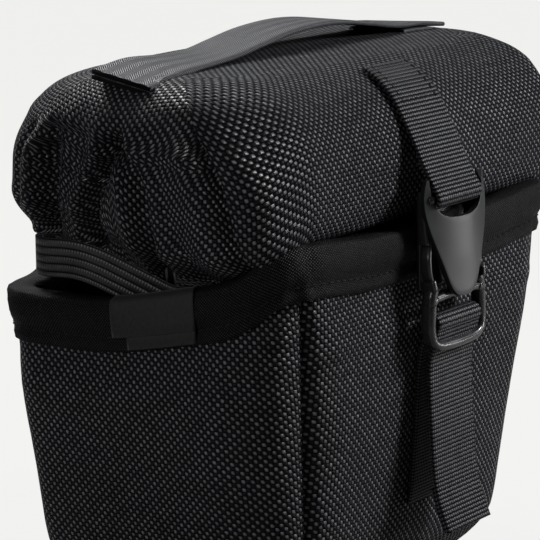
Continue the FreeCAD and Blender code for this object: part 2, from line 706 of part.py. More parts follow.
def build_male():
    """Male half: ladder-lock frame with a guide prong, and two spring arms."""
    half, clear = value_of(BUCKLE_WIDTH) / 2, size("latch_clear")
    shoulder = RIM - size("frame_below")
    low = RIM - size("buckle_below")
    rail, drop = size("frame_rail"), size("frame_curve")
    body = new_body("buckle_male_frame")
    frame = new_sketch(body, "XZ_Plane", "frame")
    frame.AttachmentOffset = Placement(Vector(0, 0, MALE_FRONT - size("frame_thick")), Rotation())
    outline = [Part.LineSegment(point(half, shoulder), point(-half, shoulder)),
               Part.LineSegment(point(-half, shoulder), point(-half, low + drop)),
               Part.Arc(point(-half, low + drop), point(0, low), point(half, low + drop)),
               Part.LineSegment(point(half, low + drop), point(half, shoulder))]
    draw(frame, outline)
    pad(body, frame, "pad", "frame_thick")
    window = new_sketch(body, "XZ_Plane", "window")
    draw(window, polygon([(-half + rail, shoulder - 3.0), (half - rail, shoulder - 3.0),
                          (half - rail, low + 2.5), (-half + rail, low + 2.5)]))
    pocket(body, window, "window_cut", "8*webbing_width")
    slot = new_sketch(body, "XZ_Plane", "tail_slot")
    behind, lip = BUCKLE_BACK - size("buckle_plate"), 2.2
    slot.AttachmentOffset = Placement(Vector(0, 0, behind), Rotation())
    draw(slot, polygon([(-half + rail, low + drop + 3.0), (half - rail, low + drop + 3.0),
                        (half - rail, low - 1.0), (-half + rail, low - 1.0)]))
    slot_cut = body.newObject("PartDesign::Pocket", "buckle_male_tail_slot_cut")
    slot_cut.Profile = slot
    slot_cut.Length = MALE_FRONT - lip - behind
    slot_cut.Reversed = True
    body.Tip = slot_cut

    bar_z = RIM - size("ladder_below")
    bar = new_sketch(body, "YZ_Plane", "bar")
    bar.addGeometry(Part.Circle(point(BAR_Y, bar_z), Vector(0, 0, 1), size("bar_radius")), False)
    pad(body, bar, "bar_pad", BUCKLE_WIDTH + " - bar_radius", both_ways=True)

    prong = new_sketch(body, "XZ_Plane", "prong")
    prong.AttachmentOffset = Placement(Vector(0, 0, MALE_FRONT - size("prong_thick")), Rotation())
    wide, tip, taper = size("prong_half"), RIM - size("lug_low"), 1.5
    draw(prong, polygon([(-wide, shoulder - 1.0), (wide, shoulder - 1.0), (wide, tip - taper),
                         (wide - taper, tip), (taper - wide, tip), (-wide, tip - taper)]))
    pad(body, prong, "prong_pad", "prong_thick")
    node(body)

    blade_out, blade_in = half - 0.4 - size("buckle_back") - clear, half - 6.0
    lug_low, lug_high = RIM - size("lug_low"), RIM - size("lug_high")
    grip_low, grip_high = shoulder + clear + 1.0, RIM - size("cheek_below") - 1.0
    for side, sign in (("left", -1), ("right", 1)):
        arm = new_body(f"buckle_arm_{side}")
        blade = new_sketch(arm, "XZ_Plane", "blade")
        blade.AttachmentOffset = Placement(Vector(0, 0, -ARM_Y - size("arm_thick") / 2), Rotation())
        profile = [(blade_in + 0.8, shoulder + clear), (blade_out, shoulder + clear), (half, grip_low),
                   (half + 0.3, (grip_low + grip_high) / 2), (half - 0.6, grip_high),
                   (blade_out, grip_high + 0.6), (blade_out, lug_low), (half - 0.9, lug_low),
                   (blade_out, lug_high), (blade_in + 1.6, lug_high), (blade_in + 0.8, grip_high)]
        draw(blade, polygon([(sign * x, z) for x, z in profile]))
        pad(arm, blade, "pad", "arm_thick")
        node(arm)
    return bar_z, low


def build_lower_strap(bar_z, low):
    """Loop round the ladder bar, the free tail and the strap sewn to the front wall."""
    tape, gap, clear = size("webbing_thick"), size("layer_gap"), size("latch_clear")
    inner = size("bar_radius") + clear
    loop_low = bar_z - inner - tape
    node(ring("strap_bar_loop", BAR_Y, bar_z, "bar_radius + latch_clear",
              "bar_radius + latch_clear + webbing_thick", "webbing_width"))
    tail_y = BAR_Y + 0.6
    tail = [(tail_y, loop_low - gap), (tail_y + 0.2, low - 3.0), (tail_y - 0.8, RIM - 62.0),
            (tail_y - 3.2, RIM - 84.0), (tail_y - 8.0, RIM - size("tail_end"))]
    node(band("strap_tail", tail, [30.0, 60.0, 30.0], "webbing_thick", "webbing_width"))
    end, seat_z = RIM - size("strap_end"), RIM - size("strap_end") + size("strap_sewn")
    foot = plan_at(end)[1] + gap + tape / 2
    seat = plan_at(seat_z)[1] + gap + tape / 2
    top_y = BAR_Y + inner + tape / 2 + clear
    lower = [(top_y, loop_low - clear), (top_y + 1.0, low - 3.0), (-seat, seat_z), (-foot, end)]
    node(band("lower_strap", lower, [30.0, 30.0], "webbing_thick", "webbing_width"))


def finish():
    """Check every object, then write one STEP file for each node."""
    doc.recompute()
    for thing in doc.Objects:
        for mark in ("Invalid", "Error"):
            if mark in thing.State:
                raise RuntimeError(f"{thing.Name} is {thing.State}")
    os.makedirs("parts", exist_ok=True)
    for thing in NODES:
        if thing.Shape.isNull() or not thing.Shape.isValid():
            raise RuntimeError(f"{thing.Label} has a bad shape")
    for thing in NODES:
        thing.Shape.exportStep(os.path.join("parts", f"{thing.Label}.step"))
        box = thing.Shape.BoundBox
        print(f"{thing.Label:22s} solids {len(thing.Shape.Solids)} volume {thing.Shape.Volume:10.1f} "
              f"x {box.XMin:7.1f} {box.XMax:7.1f} y {box.YMin:7.1f} {box.YMax:7.1f} "
              f"z {box.ZMin:7.1f} {box.ZMax:7.1f}")


build_walls()
build_base()
build_binding()
build_label()
build_lid()
build_hinge()
build_handle()
build_female(build_upper_strap())
build_lower_strap(*build_male())
finish()
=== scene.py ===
"""Small padded camera pouch: gathered padded lid, carry handle, webbing strap and side-release buckle.

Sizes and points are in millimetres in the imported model's frame, until mesh_object turns them to metres.
"""
import logging
import math
from dataclasses import dataclass, field
from enum import Enum
from typing import Callable, Sequence

import bmesh
import bpy
import numpy as np
from mathutils import Matrix, Vector, noise


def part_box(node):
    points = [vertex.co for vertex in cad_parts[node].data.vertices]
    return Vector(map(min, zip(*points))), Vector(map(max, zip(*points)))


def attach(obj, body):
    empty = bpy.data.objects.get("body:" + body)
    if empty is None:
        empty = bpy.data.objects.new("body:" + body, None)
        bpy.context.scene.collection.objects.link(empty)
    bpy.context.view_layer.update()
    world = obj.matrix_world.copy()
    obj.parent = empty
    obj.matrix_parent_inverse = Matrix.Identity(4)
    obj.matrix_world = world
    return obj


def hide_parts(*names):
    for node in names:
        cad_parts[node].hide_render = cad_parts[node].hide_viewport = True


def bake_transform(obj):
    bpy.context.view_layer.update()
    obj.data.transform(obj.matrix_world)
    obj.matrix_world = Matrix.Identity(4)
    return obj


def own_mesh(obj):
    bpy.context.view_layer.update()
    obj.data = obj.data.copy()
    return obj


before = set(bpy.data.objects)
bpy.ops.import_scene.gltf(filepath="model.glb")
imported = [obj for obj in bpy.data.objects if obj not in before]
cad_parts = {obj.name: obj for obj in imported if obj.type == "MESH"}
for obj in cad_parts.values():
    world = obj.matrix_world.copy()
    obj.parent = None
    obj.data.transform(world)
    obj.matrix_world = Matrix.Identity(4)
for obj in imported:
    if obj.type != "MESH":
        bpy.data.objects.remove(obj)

LOG = logging.getLogger("pouch")
MM = 0.001
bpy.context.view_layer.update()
SPLINE_STEPS = 24             # points worked out between two given ones

Pair = tuple[float, float]
Triple = tuple[float, float, float]
SIDEWAYS: Triple = (1.0, 0.0, 0.0)
BACKWARD: Triple = (0.0, 1.0, 0.0)
UPWARD: Triple = (0.0, 0.0, 1.0)


# ------------------------------------------------------------------ small tools

def linear(colour: str) -> tuple[float, float, float, float]:
    """An sRGB hex colour as linear red, green, blue and alpha."""
    parts = [int(colour[i:i + 2], 16) / 255 for i in (1, 3, 5)]
    return tuple(p / 12.92 if p <= 0.04045 else ((p + 0.055) / 1.055) ** 2.4 for p in parts) + (1.0,)


def smoothstep(low: float, high: float, value: np.ndarray | float) -> np.ndarray | float:
    """A smooth rise from 0 at low to 1 at high."""
    t = np.clip((value - low) / (high - low), 0.0, 1.0)
    return t * t * (3 - 2 * t)


def lengths(line: np.ndarray) -> np.ndarray:
    """Distance along a line at each of its points."""
    return np.concatenate([[0], np.cumsum(np.linalg.norm(np.diff(line, axis=0), axis=1))])


def ring_of(centre: Pair, radius: float, degrees: Sequence[float]) -> list[Pair]:
    """Points round a centre, at angles in degrees."""
    return [(centre[0] + radius * math.cos(a), centre[1] + radius * math.sin(a)) for a in np.radians(degrees)]


def curve_through(points: Sequence[Sequence[float]], count: int) -> np.ndarray:
    """Points evenly spaced along a smooth line through a few given ones.

    Args:
        points: The points that the line passes.
        count: How many points to return.

    Returns:
        An array of count points.
    """
    knots = np.array(points, float)
    padded = np.vstack([2 * knots[0] - knots[1], knots, 2 * knots[-1] - knots[-2]])
    fine = []
    for a, b, c, d in zip(padded, padded[1:], padded[2:], padded[3:]):
        for t in np.linspace(0, 1, SPLINE_STEPS, endpoint=False):
            fine.append(0.5 * (2 * b + (c - a) * t + (2 * a - 5 * b + 4 * c - d) * t * t
                               + (3 * b - a - 3 * c + d) * t ** 3))
    fine.append(knots[-1])
    line = np.array(fine)
    along = lengths(line)
    places = np.linspace(0, along[-1], count)
    return np.stack([np.interp(places, along, line[:, k]) for k in range(line.shape[1])], axis=1)


def rumple(points: np.ndarray, scale: float, seed: float) -> np.ndarray:
    """Smooth noise at each point.

    Args:
        points: The points, in millimetres.
        scale: How wide a bump is, in millimetres.
        seed: Where in the noise to start.

    Returns:
        One value from -1 to 1 for each point.
    """
    flat = points.reshape(-1, 3) / scale
    values = [noise.noise(Vector((p[0] + seed, p[1] - seed, p[2] + 2 * seed))) for p in flat]
    return np.array(values).reshape(points.shape[:-1])


def mesh_object(name: str, verts: np.ndarray, faces: Sequence[Sequence[int]], uvs: np.ndarray | None = None,
                kinds: Sequence[int] | None = None) -> bpy.types.Object:
    """A smooth mesh object from millimetre points.

    Args:
        name: The piece's name.
        verts: Points in millimetres.
        faces: Corner indices of each face.
        uvs: One pair for each face corner, in metres, or None.
        kinds: The material index of each face, or None.

    Returns:
        The linked object.
    """
    mesh = bpy.data.meshes.new(name)
    mesh.from_pydata((np.asarray(verts, float) * MM).tolist(), [], [list(f) for f in faces])
    if uvs is not None:
        layer = mesh.uv_layers.new(name="weave")
        layer.data.foreach_set("uv", np.asarray(uvs, np.float32).ravel())
    if kinds is not None:
        mesh.polygons.foreach_set("material_index", np.asarray(kinds, np.int32))
    mesh.polygons.foreach_set("use_smooth", np.ones(len(mesh.polygons), bool))
    mesh.update()
    thing = bpy.data.objects.new(name, mesh)
    bpy.context.scene.collection.objects.link(thing)
    return thing


def bake(thing: bpy.types.Object) -> bpy.types.Object:
    """Turn a piece's modifiers into plain mesh.

    Args:
        thing: The piece, with its modifiers.

    Returns:
        The same piece, without them.
    """
    depsgraph = bpy.context.evaluated_depsgraph_get()
    mesh = bpy.data.meshes.new_from_object(thing.evaluated_get(depsgraph), preserve_all_data_layers=True,
                                           depsgraph=depsgraph)
    thing.modifiers.clear()
    thing.data = mesh
    return thing


def dress(thing: bpy.types.Object, *materials: bpy.types.Material) -> bpy.types.Object:
    """Give a piece its materials.

    Args:
        thing: The piece.
        materials: The materials, in the order of their indices.

    Returns:
        The piece.
    """
    thing.data.materials.clear()
    for material in materials:
        thing.data.materials.append(material)
    return thing


def join(name: str, things: Sequence[bpy.types.Object]) -> bpy.types.Object:
    """Several meshes as one piece, with their UVs and materials kept.

    Args:
        name: The piece's name.
        things: The meshes.

    Returns:
        The piece.
    """
    bpy.ops.object.select_all(action="DESELECT")
    for thing in things:
        thing.select_set(True)
    bpy.context.view_layer.objects.active = things[0]
    bpy.ops.object.join()
    things[0].name = name
    things[0].data.name = name
    return things[0]


def declare(thing: bpy.types.Object, body: str, slot: str, *nodes: str) -> bpy.types.Object:
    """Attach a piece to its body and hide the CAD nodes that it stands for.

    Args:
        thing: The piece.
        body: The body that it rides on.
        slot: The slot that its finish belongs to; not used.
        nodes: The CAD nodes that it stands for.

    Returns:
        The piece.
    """
    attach(thing, body)
    if nodes:
        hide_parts(*nodes)
    return thing


# ------------------------------------------------------------------ meshes that follow a rule

class Side(Enum):
    """The four panels between the corner seams, counter-clockwise from above."""
    FRONT = 0
    RIGHT = 1
    BACK = 2
    LEFT = 3


# Direction along each side and out of it.
ALONG = np.array([(1, 0), (0, 1), (-1, 0), (0, -1)], float)
OUT = np.array([(0, -1), (1, 0), (0, 1), (-1, 0)], float)


@dataclass
class Plan:
    """Stations round a rounded rectangle, with a seam in each corner."""
    cells_x: int = 96
    cells_y: int = 64
    front_turn: float = 45.0      # degrees of each corner that belong to the front or back panel
    side: np.ndarray = field(init=False)
    share: np.ndarray = field(init=False)
    step: np.ndarray = field(init=False)

    def __post_init__(self) -> None:
        """Lay out the stations."""
        counts = [self.cells_x, self.cells_y, self.cells_x, self.cells_y]
        self.side = np.concatenate([np.full(n, k) for k, n in enumerate(counts)])
        self.share = np.concatenate([np.arange(n) / n for n in counts])
        self.step = np.concatenate([np.full(n, 1 / n) for n in counts])

    @property
    def count(self) -> int:
        """How many stations there are."""
        return len(self.side)

    def place(self, half_w: np.ndarray, half_d: np.ndarray, radius: np.ndarray, share: np.ndarray | None = None
              ) -> tuple[np.ndarray, np.ndarray, np.ndarray, np.ndarray]:
        """Where each station is on a rounded rectangle.

        Args:
            half_w: Half width at each station, along X.
            half_d: Half depth at each station, along Y.
            radius: Corner radius at each station.
            share: Share of the side at each station, or None for the stations' own.

        Returns:
            Points, outward normals, distance from the side's middle, and the side's length.
        """
        share = self.share if share is None else share
        even = self.side % 2 == 0
        half_l = np.where(even, half_w, half_d)
        half_o = np.where(even, half_d, half_w)
        arc = radius * np.radians(np.where(even, self.front_turn, 90 - self.front_turn))
        length = 2 * arc + 2 * (half_l - radius)
        run = share * length - length / 2
        past = np.abs(run) - (half_l - radius)
        turn = np.where(past > 0, past / radius, 0.0) * np.sign(run)
        a = np.where(past > 0, np.sign(run) * (half_l - radius) + radius * np.sin(turn), run)
        o = np.where(past > 0, half_o - radius + radius * np.cos(turn), half_o)
        along, out = ALONG[self.side], OUT[self.side]
        points = a[..., None] * along + o[..., None] * out
        normals = np.sin(turn)[..., None] * along + np.cos(turn)[..., None] * out
        return points, normals, run, length


class Shell:
    """A closed shell made of rings of stations and capped by grids."""

    def __init__(self, plan: Plan) -> None:
        """Start an empty shell.

        Args:
            plan: The stations of its rings.
        """
        self.plan = plan
        self.verts: list[np.ndarray] = []
        self.faces: list[tuple[int, ...]] = []
        self.uvs: list[Pair] = []
        self.kinds: list[int] = []
        self.total = 0

    def ring(self, points: np.ndarray) -> int:
        """Add one ring of points.

        Args:
            points: The points.

        Returns:
            The index of the first.
        """
        first = self.total
        self.verts.append(points)
        self.total += len(points)
        return first

    def strip(self, low: int, high: int, uv_low: tuple[np.ndarray, ...], uv_high: tuple[np.ndarray, ...],
              kind: int, flip: bool = False) -> None:
        """Join two rings.

        Args:
            low: First index of the lower ring.
            high: First index of the upper ring.
            uv_low: For the lower ring, u at the start and at the end of each cell, and v there.
            uv_high: The same for the upper ring.
            kind: Material index.
            flip: Whether the faces look inwards.
        """
        n = self.plan.count
        for c in range(n):
            d = (c + 1) % n
            corners = [(low + c, (uv_low[0][c], uv_low[2][c])), (low + d, (uv_low[1][c], uv_low[3][c])),
                       (high + d, (uv_high[1][c], uv_high[3][c])), (high + c, (uv_high[0][c], uv_high[2][c]))]
            if flip:
                corners.reverse()
            self.faces.append(tuple(i for i, _ in corners))
            self.uvs.extend(uv for _, uv in corners)
            self.kinds.append(kind)

    def cap(self, first: int, ring: np.ndarray, kind: int, flip: bool, lift: Callable | None = None) -> None:
        """Fill a ring with a grid.

        Args:
            first: First index of the ring.
            ring: The ring's points.
            kind: Material index.
            flip: Whether the faces look down.
            lift: Height to add at each inner point, or None.
        """
        nx, ny = self.plan.cells_x, self.plan.cells_y
        index = np.zeros((nx + 1, ny + 1), int)
        index[:, 0] = np.arange(nx + 1)
        index[nx, :] = nx + np.arange(ny + 1)
        index[:, ny] = nx + ny + np.arange(nx, -1, -1)
        index[0, 1:] = 2 * nx + ny + np.arange(ny - 1, -1, -1)
        index[0, 0] = 0
        grid = ring[index]
        u = (np.arange(nx + 1) / nx)[:, None, None]
        v = (np.arange(ny + 1) / ny)[None, :, None]
        inner = ((1 - v) * grid[:, :1] + v * grid[:, -1:] + (1 - u) * grid[:1] + u * grid[-1:]
                 - (1 - u) * (1 - v) * grid[0, 0] - u * (1 - v) * grid[-1, 0]
                 - (1 - u) * v * grid[0, -1] - u * v * grid[-1, -1])
        inner = inner[1:-1, 1:-1]
        if lift is not None:
            inner[..., 2] += lift(inner)
        grid[1:-1, 1:-1] = inner
        index += first
        index[1:-1, 1:-1] = self.total + np.arange((nx - 1) * (ny - 1)).reshape(nx - 1, ny - 1)
        self.ring(inner.reshape(-1, 3))
        for i in range(nx):
            for j in range(ny):
                corners = [(i, j), (i + 1, j), (i + 1, j + 1), (i, j + 1)]
                if flip:
                    corners.reverse()
                self.faces.append(tuple(int(index[c]) for c in corners))
                self.uvs.extend((grid[c][0] * MM, grid[c][1] * MM) for c in corners)
                self.kinds.append(kind)

    def build(self, name: str) -> bpy.types.Object:
        """The shell as an object."""
        return mesh_object(name, np.concatenate(self.verts), self.faces, np.array(self.uvs), self.kinds)


def sweep(name: str, path: np.ndarray, across: Sequence[float], section: np.ndarray,
          shape: Callable | None = None) -> bpy.types.Object:
    """A section carried along a path.

    Args:
        name: The piece's name.
        path: Points of the path, in millimetres.
        across: The direction of the section's first axis.
        section: A closed outline, counter-clockwise as seen looking back along the path.
        shape: A function of (share of the path, section) that gives the section there, or None.

    Returns:
        The object, with u round the section and v along the path, in metres.
    """
    count, m = len(path), len(section)
    tangent = np.gradient(path, axis=0)
    tangent /= np.linalg.norm(tangent, axis=1, keepdims=True)
    across = np.broadcast_to(np.asarray(across, float), path.shape)
    side = across - (across * tangent).sum(1, keepdims=True) * tangent
    side /= np.linalg.norm(side, axis=1, keepdims=True)
    up = np.cross(side, tangent)
    along, around = lengths(path), lengths(np.vstack([section, section[:1]]))
    verts = np.zeros((count, m, 3))
    for k in range(count):
        here = section if shape is None else shape(along[k] / along[-1], section)
        verts[k] = path[k] + here[:, :1] * side[k] + here[:, 1:] * up[k]
    faces, uvs = [], []
    for k in range(count - 1):
        v0, v1 = along[k] * MM, along[k + 1] * MM
        for i in range(m):
            j = (i + 1) % m
            faces.append((k * m + i, k * m + j, (k + 1) * m + j, (k + 1) * m + i))
            u0, u1 = around[i] * MM, around[i + 1] * MM
            uvs.extend([(u0, v0), (u1, v0), (u1, v1), (u0, v1)])
    for ring in (range(m - 1, -1, -1), range((count - 1) * m, count * m)):
        faces.append(tuple(ring))
        uvs.extend([(0.0, 0.0)] * m)
    thing = mesh_object(name, verts.reshape(-1, 3), faces, np.array(uvs))
    fix = bmesh.new()
    fix.from_mesh(thing.data)
    bmesh.ops.recalc_face_normals(fix, faces=fix.faces[:])
    fix.to_mesh(thing.data)
    fix.free()
    return thing


def rounded_section(width: float, height: float, radius: float, steps: int = 4, flat_steps: int = 1) -> np.ndarray:
    """A rounded rectangle outline, counter-clockwise.

    Args:
        width: Its size along the first axis.
        height: Its size along the second.
        radius: Its corners' radius.
        steps: Divisions of each corner.
        flat_steps: Divisions of each long side.

    Returns:
        The outline's points.
    """
    points = []
    corners = [(1, 1), (-1, 1), (-1, -1), (1, -1)]
    for index, (sx, sy) in enumerate(corners):
        cx, cy = sx * (width / 2 - radius), sy * (height / 2 - radius)
        for k in range(steps + 1):
            angle = math.pi / 2 * (index + k / steps)
            points.append((cx + radius * math.cos(angle), cy + radius * math.sin(angle)))
        if index in (0, 2):
            nxt = corners[index + 1]
            end = (nxt[0] * (width / 2 - radius), cy + sy * radius)
            start = points[-1]
            for k in range(1, flat_steps):
                points.append((start[0] + (end[0] - start[0]) * k / flat_steps, start[1]))
    return np.array(points)


# ------------------------------------------------------------------ finishes

def add(tree: bpy.types.NodeTree, kind: str, links: dict | None = None, **settings) -> bpy.types.Node:
    """Add a node with its settings and links.

    Args:
        tree: The tree that it goes in.
        kind: The node's type name.
        links: For each input, by name or index, an output socket to link or a value to set.
        settings: The node's own properties.

    Returns:
        The node.
    """
    node = tree.nodes.new(kind)
    for key, value in settings.items():
        setattr(node, key, value)
    for key, value in (links or {}).items():
        if isinstance(value, bpy.types.NodeSocket):
            tree.links.new(value, node.inputs[key])
        else:
            node.inputs[key].default_value = value
    return node


class Pattern(Enum):
    """How a textile is woven."""
    BASKET = "basket"            # over and under floats in a chequer
    RIBS_ACROSS = "ribs_across"  # webbing, ribs across its length
    HERRINGBONE = "herringbone"  # webbing, ribs that turn back and forth
    TWILL = "twill"              # fine slanted lines
    RIBS_ALONG = "ribs_along"    # elastic, cords along its length


@dataclass(frozen=True)
class Textile:
    """A woven finish on a piece's own UV map, whose units are metres of cloth."""
    name: str
    pattern: Pattern
    pitch: float          # millimetres between threads or ribs
    thread: str           # colour on top of a thread: the yarn's colour with a painted highlight
    gap: str              # colour between threads: the yarn's colour with painted shade
    roughness: float
    sheen: float
    depth: float          # height of a thread, in millimetres
    cross: float = 1.0    # how bright the crossing threads are painted, as a share; their dimness is painted shade
    gleam: float = 0.5    # strength of the threads' shine
    glint_focus: float = 1.0    # how closely the painted highlight keeps to the top of a thread
    slant: float = 0.0    # how far the floats lean

    def build(self) -> bpy.types.Material:
        """Make the cloth's material.

        Returns:
            The material, whose weave follows the piece's own UV map.
        """
        material = bpy.data.materials.new(self.name)
        material.use_nodes = True
        tree = material.node_tree
        tree.nodes.clear()
        uv = add(tree, "ShaderNodeUVMap", uv_map="weave")
        scaled = add(tree, "ShaderNodeVectorMath", {0: uv.outputs[0], 3: 1 / (self.pitch * MM)}, operation="SCALE")
        parts = add(tree, "ShaderNodeSeparateXYZ", {0: scaled.outputs[0]})
        height, tone = self.threads(tree, parts.outputs[0], parts.outputs[1])
        # Threads drift in tone over about three threads, and the cloth over about 45 mm.
        stray = add(tree, "ShaderNodeTexNoise", {0: scaled.outputs[0], "Scale": 0.35, "Detail": 2.0})
        wide = add(tree, "ShaderNodeTexCoord")
        worn = add(tree, "ShaderNodeTexNoise", {0: wide.outputs["Object"], "Scale": 22.0, "Detail": 3.0})
        mixed = add(tree, "ShaderNodeMath", {0: stray.outputs[0], 1: worn.outputs[0]}, operation="ADD")
        uneven = add(tree, "ShaderNodeMapRange", {0: mixed.outputs[0], 1: 0.7, 2: 1.3, 3: 0.72, 4: 1.18})
        shade = add(tree, "ShaderNodeMath", {0: tone, 1: uneven.outputs[0]}, operation="MULTIPLY", use_clamp=True)
        colour = add(tree, "ShaderNodeMix", {0: shade.outputs[0], 6: linear(self.gap), 7: linear(self.thread)},
                     data_type="RGBA")
        rough = add(tree, "ShaderNodeMapRange", {0: height, 1: 0.0, 2: 1.0, 3: min(1.0, self.roughness + 0.3),
                                                 4: self.roughness})
        bump = add(tree, "ShaderNodeBump", {"Height": height, "Distance": self.depth * MM, "Strength": 1.0})
        gleam = add(tree, "ShaderNodeMapRange", {0: shade.outputs[0], 1: 0.15, 2: 0.8, 3: 0.04, 4: self.gleam})
        shader = add(tree, "ShaderNodeBsdfPrincipled", {
            "Base Color": colour.outputs[2], "Roughness": rough.outputs[0], "Normal": bump.outputs[0],
            "Specular IOR Level": gleam.outputs[0], "Sheen Weight": self.sheen, "Sheen Roughness": 0.4,
            "IOR": 1.53})
        add(tree, "ShaderNodeOutputMaterial", {0: shader.outputs[0]})
        return material

    def threads(self, tree: bpy.types.NodeTree, u: bpy.types.NodeSocket, v: bpy.types.NodeSocket
                ) -> tuple[bpy.types.NodeSocket, bpy.types.NodeSocket]:
        """The weave's relief and its tone, which holds painted highlight and shade.

        Args:
            tree: The material's tree.
            u: Threads counted across the cloth.
            v: Threads counted along it.

        Returns:
            The height and the tone, each from 0 to 1; the tone paints highlight on the threads' tops and shade between
            them.
        """
        def maths(operation: str, a: object, b: object = 0.0, c: object = 0.0) -> bpy.types.NodeSocket:
            """One sum on two or three values."""
            return add(tree, "ShaderNodeMath", {0: a, 1: b, 2: c}, operation=operation).outputs[0]

        def hump(x: bpy.types.NodeSocket) -> bpy.types.NodeSocket:
            """A round ridge over each unit of x, 0 at its edges and 1 in its middle."""
            return maths("ABSOLUTE", maths("SINE", maths("MULTIPLY", x, math.pi)))

        if self.pattern is Pattern.BASKET:
            odd = maths("ABSOLUTE", maths("MODULO", maths("ADD", maths("FLOOR", u), maths("FLOOR", v)), 2.0))
            # A round ridge for each float, four plies in it, and the crossing floats lower between.
            leant = maths("MULTIPLY_ADD", maths("SUBTRACT", maths("FRACT", v), 0.5), self.slant, u)
            ridge_u, ridge_v = hump(leant), hump(v)
            over = maths("MULTIPLY", maths("POWER", ridge_u, 0.6), maths("POWER", ridge_v, 0.35))
            under = maths("MULTIPLY", maths("POWER", ridge_v, 0.6), maths("POWER", ridge_u, 0.35))
            strands = maths("MULTIPLY_ADD", maths("SINE", maths("MULTIPLY", u, 8 * math.pi)), 0.09, 0.91)
            even = maths("SUBTRACT", 1.0, odd)
            bright = maths("MULTIPLY", maths("MULTIPLY", over, strands), even)
            dim = maths("MULTIPLY", under, odd)
            height = maths("ADD", bright, maths("MULTIPLY", dim, 0.75))
            # Each float's painted glint, kept to its top, is brighter or dimmer by its own luck, and the crossing
            # floats are painted dim as painted shade.
            cell = add(tree, "ShaderNodeCombineXYZ", {0: maths("FLOOR", u), 1: maths("FLOOR", v)})
            luck = add(tree, "ShaderNodeTexWhiteNoise", {0: cell.outputs[0]}, noise_dimensions="2D").outputs[0]
            painted_glint = maths("MULTIPLY", maths("POWER", bright, self.glint_focus), maths("MULTIPLY_ADD", luck, 0.45, 0.7))
            return height, maths("MULTIPLY_ADD", dim, self.cross, painted_glint)
        if self.pattern is Pattern.RIBS_ACROSS:
            # The ribs waver a little, and the yarns across them stand as beads.
            lean = maths("MULTIPLY", maths("PINGPONG", maths("MULTIPLY", u, 0.45), 0.5), 0.25)
            ridge = hump(maths("ADD", v, lean))
            beads = maths("MULTIPLY_ADD", hump(maths("MULTIPLY", u, 1.1)), 0.5, 0.5)
            height = maths("MULTIPLY", maths("POWER", ridge, 0.7), beads)
            # The tone is the relief sharpened: a painted highlight on each rib's top and painted shade between ribs.
            return height, maths("POWER", height, 1.9)
        if self.pattern is Pattern.HERRINGBONE:
            zigzag = maths("PINGPONG", u, 3.0)
            height = maths("POWER", hump(maths("ADD", v, zigzag)), 0.8)
            return height, height
        if self.pattern is Pattern.TWILL:
            ridge = hump(maths("MULTIPLY_ADD", u, 0.6, v))
            beads = maths("MULTIPLY_ADD", hump(u), 0.4, 0.6)
            height = maths("MULTIPLY", ridge, beads)
            return height, height
        ridge = maths("POWER", hump(u), 0.5)
        beads = maths("MULTIPLY_ADD", hump(maths("MULTIPLY", v, 2.5)), 0.25, 0.75)
        height = maths("MULTIPLY", ridge, beads)
        return height, height


@dataclass(frozen=True)
class Moulded:
    """A moulded plastic finish."""
    name: str
    colour: str
    roughness: float
    grain: float          # millimetres between the grain's pits
    depth: float          # their depth, in millimetres
    coat: float = 0.0

    def build(self) -> bpy.types.Material:
        """Make the plastic's material.

        Returns:
            The material, with its mould's grain and a slight drift of tone.
        """
        material = bpy.data.materials.new(self.name)
        material.use_nodes = True
        tree = material.node_tree
        tree.nodes.clear()
        where = add(tree, "ShaderNodeTexCoord")
        grain = add(tree, "ShaderNodeTexNoise", {0: where.outputs["Object"], "Scale": 1 / (self.grain * MM),
                                                 "Detail": 2.0})
        # The tone and the polish drift over about 11 mm.
        broad = add(tree, "ShaderNodeTexNoise", {0: where.outputs["Object"], "Scale": 90.0, "Detail": 3.0})
        tint = add(tree, "ShaderNodeMapRange", {0: broad.outputs[0], 1: 0.35, 2: 0.65, 3: 0.0, 4: 1.0})
        base = linear(self.colour)
        paler = tuple(min(1.0, c * 1.22) for c in base[:3]) + (1.0,)
        colour = add(tree, "ShaderNodeMix", {0: tint.outputs[0], 6: base, 7: paler}, data_type="RGBA")
        rough = add(tree, "ShaderNodeMapRange", {0: broad.outputs[0], 1: 0.3, 2: 0.7, 3: self.roughness - 0.04,
                                                 4: self.roughness + 0.05})
        bump = add(tree, "ShaderNodeBump", {"Height": grain.outputs[0], "Distance": self.depth * MM,
                                            "Strength": 0.5})
        shader = add(tree, "ShaderNodeBsdfPrincipled", {
            "Base Color": colour.outputs[2], "Roughness": rough.outputs[0], "Normal": bump.outputs[0],
            "IOR": 1.48, "Coat Weight": self.coat, "Coat Roughness": 0.12})
        add(tree, "ShaderNodeOutputMaterial", {0: shader.outputs[0]})
        return material


# Ballistic nylon, 2 by 2 basket weave of thick filament yarn: round floats with a painted glint on a near-black ground.
BALLISTIC = Textile("ballistic_nylon_basket_weave", Pattern.BASKET, pitch=1.35, thread="#64656c", gap="#020203",
                    roughness=0.33, sheen=0.0, depth=0.75, cross=0.07, gleam=1.0, glint_focus=1.9, slant=0.2)
# Nylon lining, plain weave drawn coarser than its real 0.3 mm so that it shows.
LINING = Textile("nylon_lining_plain_weave", Pattern.BASKET, pitch=0.6, thread="#26272a", gap="#0c0c0e",
                 roughness=0.6, sheen=0.04, depth=0.1, cross=0.7)
# Binding tape, a plain weave of 0.5 mm yarns: a fine grid of dull dots, painted paler on their tops as highlight.
BINDING = Textile("nylon_binding_tape_plain_weave", Pattern.BASKET, pitch=0.52, thread="#212225", gap="#020203",
                  roughness=0.42, sheen=0.0, depth=0.22, cross=0.15, gleam=0.35, glint_focus=1.6)
